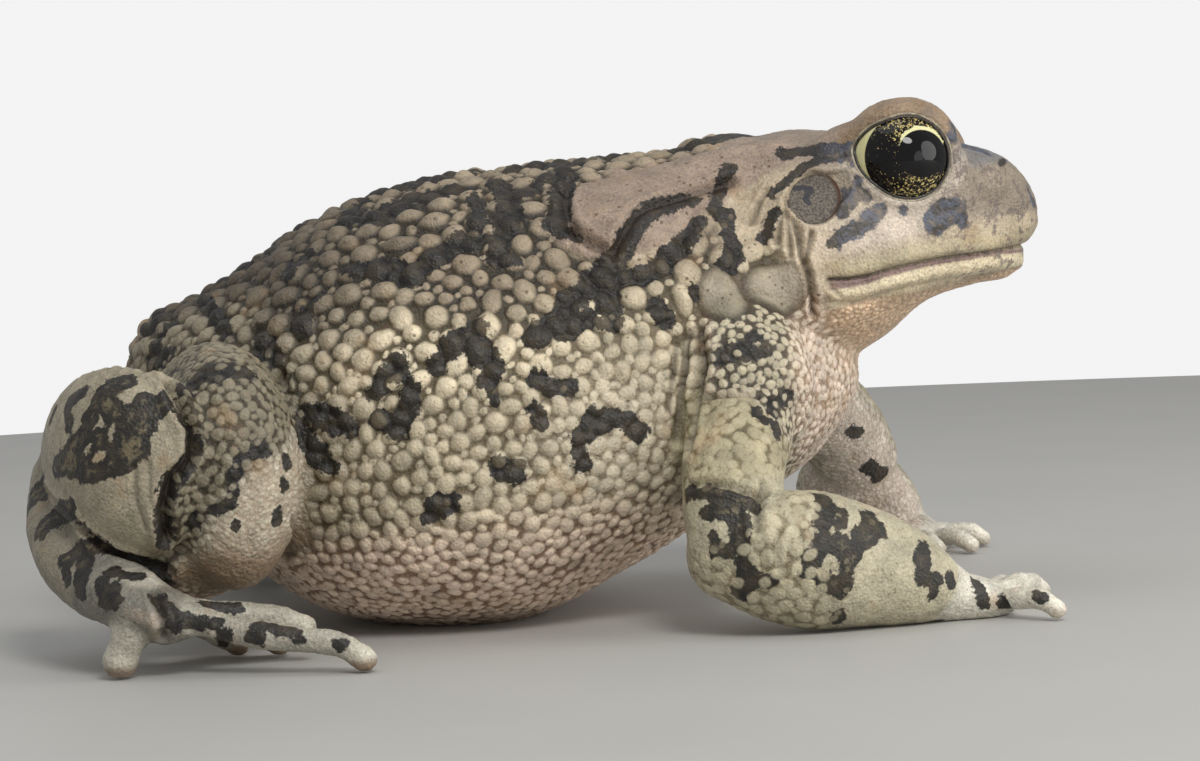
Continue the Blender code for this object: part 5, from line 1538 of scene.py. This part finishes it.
def skin_material():
    """The zones' colours with mottling, pores, freckles and a fine net, and the dark marks on top."""
    n = Nodes("toad_skin")
    place = n.place()
    dome, tone, smooth, beaded = (n.field(name) for name in ("dome", "tone", "smoothness", "beaded"))
    wart_colour = n.field("wart_colour", "Color")
    colour = n.mix(n.ramp(0.06, 0.62, dome), n.field("gap_colour", "Color"), wart_colour)
    colour = n.mix(smooth, colour, wart_colour)

    value = n.scaled(n.noise(place, 2.4, 4.0, 0.6), 1.2, 0.40)
    value = n.scaled(tone, 0.10, value)
    speckle = n.less(n.noise(place, 0.32, 4.0, 0.75), 0.5)
    colour = n.sized(colour, n.scaled(speckle, n.scaled(smooth, 0.7, 0.8), value))
    mottle = n.times(n.ramp(0.50, 0.60, n.noise(place, 1.2, 5.0, 0.7)), n.field("mottle"))
    colour = n.mix(mottle, colour, MOTTLE_COLOUR)
    stain = n.ramp(0.58, 0.75, n.noise(place, 4.5, 3.0))
    colour = n.mix(n.times(stain, 0.35), colour, STAIN_COLOUR)

    pit = n.times(n.ramp(0.20, 0.12, n.cells(place, 1.15)), n.field("pores"))
    colour = n.mix(n.times(pit, 0.8), colour, PORE_COLOUR)
    plain = n.scaled(beaded, -0.8, 1.0)
    freckles = n.times(n.ramp(0.63, 0.70, n.noise(place, 0.5, 2.0, 0.6)), n.times(plain, 0.5))
    colour = n.mix(freckles, colour, FRECKLE_COLOUR)
    net = n.times(n.ramp(0.10, 0.02, n.cells(place, 0.8, "DISTANCE_TO_EDGE")), n.ramp(0.35, 0.05, dome))
    net = n.times(net, n.scaled(smooth, -0.48, 0.55))
    colour = n.mix(n.times(net, plain), colour, NET_COLOUR)

    face_marks_and_sheen = n.field("face_marks_and_sheen")
    ragged = n.scaled(n.less(n.noise(place, 1.1, 3.0, 0.65), 0.5), 1.9, n.field("mark"))
    dark = n.ramp(-0.10, 0.12, n.times(ragged, n.scaled(face_marks_and_sheen, -0.5, 1.0)))
    black = mark_colour(n, place, dome, tone, face_marks_and_sheen, wart_colour)
    colour = n.mix(n.times(dark, n.scaled(face_marks_and_sheen, -0.08, 0.96)), colour, black)
    # Painted shade in the hollows of the mouth, nostrils, ear rims and folds.
    colour = n.mix(n.field("painted_shade"), colour, PAINTED_SHADE_COLOUR)
    colour = n.mix(n.times(n.field("tip"), 0.8), colour, TIP_COLOUR)

    beads = n.cells(place, 0.55)
    between = n.times(n.ramp(0.34, 0.58, beads), n.less(beaded, dark, clamp=True))
    colour = n.mix(n.times(between, 0.48), colour, BEAD_GAP_COLOUR)
    fine = n.scaled(n.noise(place, 0.22, 3.0, 0.6), 0.6, n.cells(place, 0.32))
    fine = n.scaled(n.times(beads, beaded), -3.6, fine)
    n.set(
        Base_Color=colour,
        Roughness=n.scaled(n.noise(place, 0.8, 2.0), 0.3, 0.32),
        Subsurface_Weight=0.12,
        Subsurface_Radius=(1.0, 0.45, 0.25),
        Subsurface_Scale=0.0012,
        Specular_IOR_Level=0.35,
        Normal=n.bump(n.scaled(pit, -1.6, fine), 0.45, 0.0002),
    )
    return n.material


def eye_material():
    """Black pupil, dark iris flecked with gold, a gold rim round the pupil and a pale rear corner."""
    n = Nodes("toad_eye")
    ahead, up = n.field("eye_ahead"), n.field("eye_up")
    place = n.place()
    radius = n.distance(n.less(ahead, IRIS[0]), n.less(up, IRIS[1]))
    px, py = n.less(ahead, PUPIL[0]), n.less(up, PUPIL[1])
    pupil = n.distance(px, py)
    height = n.math("DIVIDE", py, n.math("MAXIMUM", pupil, 0.2))
    ripple = n.scaled(n.noise(place, 0.5, 3.0, 0.7), 0.9, -0.45)
    arc_width = n.scaled(n.ramp(0.25, 1.0, height), 0.42, ripple)
    beyond = n.less(pupil, PUPIL[2])
    arc = n.times(n.ramp(-0.05, 0.05, beyond), n.ramp(0.05, -0.05, n.less(beyond, arc_width)))
    arc = n.times(arc, n.ramp(0.25, 0.45, height))
    upper, lower = n.ramp(0.1, 0.8, height), n.ramp(-0.35, -0.95, height)
    rear = n.times(n.ramp(0.3, -2.0, px), 0.12)
    amount = n.math("MAXIMUM", n.math("MAXIMUM", upper, lower), rear)
    threshold = n.scaled(amount, -0.12, 0.665)
    fleck = n.ramp(-0.01, 0.03, n.less(n.noise(place, 0.30, 4.0, 0.75), threshold))
    fleck = n.times(fleck, n.ramp(PUPIL[2] - 0.1, PUPIL[2] + 0.05, pupil))
    colour = n.mix(fleck, IRIS_COLOUR, FLECK_COLOUR)
    colour = n.mix(arc, colour, PUPIL_RIM_COLOUR)
    sclera = n.mix(n.ramp(0.4, 0.6, n.noise(place, 1.2)), *SCLERA_COLOURS)
    colour = n.mix(n.ramp(IRIS[2], IRIS[2] + 0.08, radius), colour, sclera)
    n.set(Base_Color=colour, Roughness=0.03, Specular_IOR_Level=0.28)
    return n.material


def plain_skin_material(name, light, deep, roughness, grain):
    """A fine-grained skin for a small piece."""
    n = Nodes(name)
    place = n.place()
    colour = n.mix(n.ramp(0.35, 0.65, n.noise(place, grain, 4.0, 0.7)), deep, light)
    n.set(Base_Color=colour, Roughness=roughness, Subsurface_Weight=0.1, Subsurface_Scale=0.001,
          Normal=n.bump(n.noise(place, grain * 0.5, 3.0), 0.3, 0.0001))
    return n.material


def ear_material():
    """A speckled drum with a dark swirl, a dark edge and a reddish front rim."""
    n = Nodes("toad_eardrum")
    place = n.place()
    reach, swirl = n.field("reach"), n.field("swirl")
    speck = n.noise(place, 0.22, 4.0, 0.75)
    colour = n.mix(n.ramp(0.38, 0.62, speck), *DRUM_COLOURS)
    ragged = n.math("ADD", swirl, n.scaled(n.noise(place, 0.4, 3.0), 0.5, -0.25))
    colour = n.mix(n.times(n.ramp(-0.03, 0.08, ragged), 0.85), colour, SWIRL_COLOUR)
    front_rim = n.times(n.ramp(0.78, 0.95, reach), n.ramp(0.3, 0.8, n.field("ahead")))
    colour = n.mix(n.ramp(0.85, 0.99, reach), colour, DRUM_EDGE_COLOUR)
    colour = n.mix(front_rim, colour, DRUM_FRONT_COLOUR)
    n.set(Base_Color=colour, Roughness=0.62, Specular_IOR_Level=0.2,
          Normal=n.bump(n.noise(place, 0.15, 3.0), 0.3, 0.0001))
    return n.material


def ride_and_dress(obj, material, nodes=()):
    """Gives the piece its material, slot and body, and hides the imported parts that it replaces."""
    obj.data.materials.clear()
    obj.data.materials.append(material)
    obj.data.shade_smooth()
    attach(obj, "root")
    if nodes:
        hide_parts(*nodes)


def eyeball(side, material):
    """The eyeball, with the bulge of the cornea in front."""
    centre, axis, ahead, up = eye_frame(side)
    rows = []
    for k in range(1, EYE_RINGS):
        angle = math.pi * k / EYE_RINGS
        across = math.sin(angle)
        in_front = float(smooth_ramp(0.80, 0.25, np.array(across))) if angle < math.pi / 2 else 0.0
        reach = EYE_RADIUS + CORNEA_BULGE * in_front
        wide = reach * across
        middle = centre + axis * (reach * math.cos(angle))
        rows.append([
            middle + ahead * (wide * math.cos(a)) + up * (wide * math.sin(a)) for a in turns(EYE_SEGMENTS)
        ])
    bm = bmesh.new()
    loft(bm, rows)
    obj = new_object(f"eyeball_{side}", finished_mesh(bm, f"eyeball_{side}"))
    away = points_of(obj.data) - np.array(centre)
    set_field(obj.data, "eye_ahead", away @ np.array(ahead))
    set_field(obj.data, "eye_up", away @ np.array(up))
    ride_and_dress(obj, material, (f"eye_{side}",))


def lid_rim(side, name, outside, distance, radius, material):
    """A thin rim along the opening between the lids."""
    centre, axis, ahead, up = eye_frame(side)
    degrees = [360 * k / RIM_STEPS for k in range(RIM_STEPS)]
    reaches = np.interp(degrees, np.arange(360), lid_reach(), period=360)
    path = []
    for turn, opening in zip(turns(RIM_STEPS), reaches):
        tilt = math.asin(opening / (EYE_RADIUS + LID_GAP)) + outside / distance
        reach, depth = distance * math.sin(tilt), distance * math.cos(tilt)
        around = ahead * (reach * math.cos(turn)) + up * (reach * math.sin(turn))
        path.append(centre + around + axis * depth)
    bm = bmesh.new()
    grid = []
    for k, point in enumerate(path):
        along = (path[(k + 1) % RIM_STEPS] - path[k - 1]).normalized()
        out = (point - centre).normalized()
        out = (out - along * out.dot(along)).normalized()
        across = along.cross(out)
        ring = [point + (out * math.cos(a) + across * math.sin(a)) * radius for a in turns(RIM_SIDES)]
        grid.append([bm.verts.new(place * MM) for place in ring])
    for near, far in zip(grid, grid[1:] + grid[:1]):
        for j in range(RIM_SIDES):
            bm.faces.new((near[j], near[(j + 1) % RIM_SIDES], far[(j + 1) % RIM_SIDES], far[j]))
    ride_and_dress(new_object(name, finished_mesh(bm, name)), material)


def eardrum(side, tree, material):
    """A thin drum that follows the head, a little sunk, with a raised middle."""
    sign = mirrored(side)
    way = turned_direction(Vector((0, -sign, 0)))
    top, low, reaches, middles = [], [], [], []
    for k in range(DRUM_RINGS + 1):
        share = max(k / DRUM_RINGS, 0.004)
        height = -0.34 + 0.18 * math.cos(share * math.pi * 0.5)
        upper, lower = [], []
        for turn in turns(DRUM_SEGMENTS):
            x = EAR_PLACE[0] + (EAR_RADIUS + 0.05) * share * math.cos(turn)
            z = EAR_PLACE[1] + (EAR_RADIUS + 0.05) * share * math.sin(turn)
            place, out = tree.ray_cast(turned(Vector((x, LOOK_FROM * sign, z))), way)[:2]
            upper.append(place + out * height)
            lower.append(place - out * DRUM_DEPTH)
            reaches.append(share)
            middles.append((x - EAR_PLACE[0], z - EAR_PLACE[1], 0.0))
        top.append(upper)
        low.append(lower)
    bm = bmesh.new()
    loft(bm, top + [low[-1], low[0]])
    mesh = finished_mesh(bm, f"eardrum_{side}")
    # The underside has no marking: its points get a full reach, the loft's two tips none.
    under, tips = 2 * DRUM_SEGMENTS, len(mesh.vertices) - len(reaches) - 2 * DRUM_SEGMENTS
    middles = np.array(middles + [(FAR_OFF, FAR_OFF, 0.0)] * (under + tips))
    set_field(mesh, "reach", np.array(reaches + [1.0] * under + [0.0] * tips))
    set_field(mesh, "swirl", chain_depth(middles, [(x, z, 0.0, half) for x, z, half in EAR_SWIRL]))
    set_field(mesh, "ahead", middles[:, 0] / EAR_RADIUS)
    ride_and_dress(new_object(f"eardrum_{side}", mesh), material, (f"tympanum_{side}",))


def floor():
    """A plain pale round table top."""
    bm = bmesh.new()
    bmesh.ops.create_circle(bm, cap_ends=True, segments=256, radius=FLOOR_RADIUS)
    mesh = bpy.data.meshes.new("floor")
    bm.to_mesh(mesh)
    bm.free()
    obj = new_object("floor", mesh)
    n = Nodes("pale_floor")
    place = n.place()
    colour = n.mix(n.noise(place, 30.0, 4.0), *FLOOR_COLOURS)
    n.set(Base_Color=colour, Roughness=0.55, Normal=n.bump(n.noise(place, 1.5, 4.0), 0.05, 0.0003))
    mesh.materials.append(n.material)


def area_light(name, place, size, power, colour):
    """A round soft light that faces the toad."""
    light = bpy.data.lights.new(name, "AREA")
    light.shape = "DISK"
    light.size = size
    light.energy = power
    light.color = colour
    obj = new_object(name, light)
    obj.location = place
    obj.rotation_mode = "QUATERNION"
    obj.rotation_quaternion = (LIGHTS_AIM - Vector(place)).to_track_quat("-Z", "Y")


def studio():
    """A white surround, seen brighter than it lights, and the soft lights."""
    scene = bpy.context.scene
    scene.view_settings.view_transform = "Standard"
    world = bpy.data.worlds.new("studio")
    scene.world = world
    world.use_nodes = True
    tree = world.node_tree
    background = tree.nodes["Background"]
    backdrop = tree.nodes.new("ShaderNodeBackground")
    for node, strength in ((background, SKY_LIGHT), (backdrop, SKY_SEEN)):
        node.inputs["Color"].default_value = (1.0, 1.0, 1.0, 1.0)
        node.inputs["Strength"].default_value = strength
    seen = tree.nodes.new("ShaderNodeLightPath")
    blend = tree.nodes.new("ShaderNodeMixShader")
    tree.links.new(seen.outputs["Is Camera Ray"], blend.inputs["Fac"])
    tree.links.new(background.outputs["Background"], blend.inputs[1])
    tree.links.new(backdrop.outputs["Background"], blend.inputs[2])
    tree.links.new(blend.outputs["Shader"], tree.nodes["World Output"].inputs["Surface"])
    for name, light in LIGHTS.items():
        area_light(name, *light)


def camera():
    """The photograph's camera."""
    data = bpy.data.cameras.new("camera")
    data.lens = CAMERA_LENS
    data.sensor_width = SENSOR_WIDTH
    data.clip_start = 0.01
    obj = new_object("camera", data)
    right, up, forward = camera_axes()
    turn = Matrix((right, up, -forward)).transposed().to_4x4()
    obj.matrix_world = Matrix.Translation(CAMERA_PLACE * MM) @ turn
    bpy.context.scene.camera = obj


def main():
    """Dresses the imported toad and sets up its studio."""
    skin, tree = build_skin()
    flesh = [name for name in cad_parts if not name.startswith(("eye", "tympanum"))]
    ride_and_dress(skin, skin_material(), flesh)
    wet_eye = eye_material()
    pale_rim = plain_skin_material("lid_rim", *LID_RIM_COLOURS, 0.35, 0.7)
    shade_line_rim = plain_skin_material("lid_shade_line", *LID_SHADE_LINE_COLOURS, 0.25, 0.4)
    drum = ear_material()
    for side in SIDES:
        eyeball(side, wet_eye)
        lid_rim(side, f"lid_rim_{side}", 0.12, EYE_RADIUS + 0.32, 0.14, pale_rim)
        # A dark line of painted shade between the pale rim and the eyeball.
        lid_rim(side, f"lid_shade_line_{side}", -0.10, EYE_RADIUS + 0.10, 0.12, shade_line_rim)
        eardrum(side, tree, drum)
    floor()
    studio()
    camera()


main()
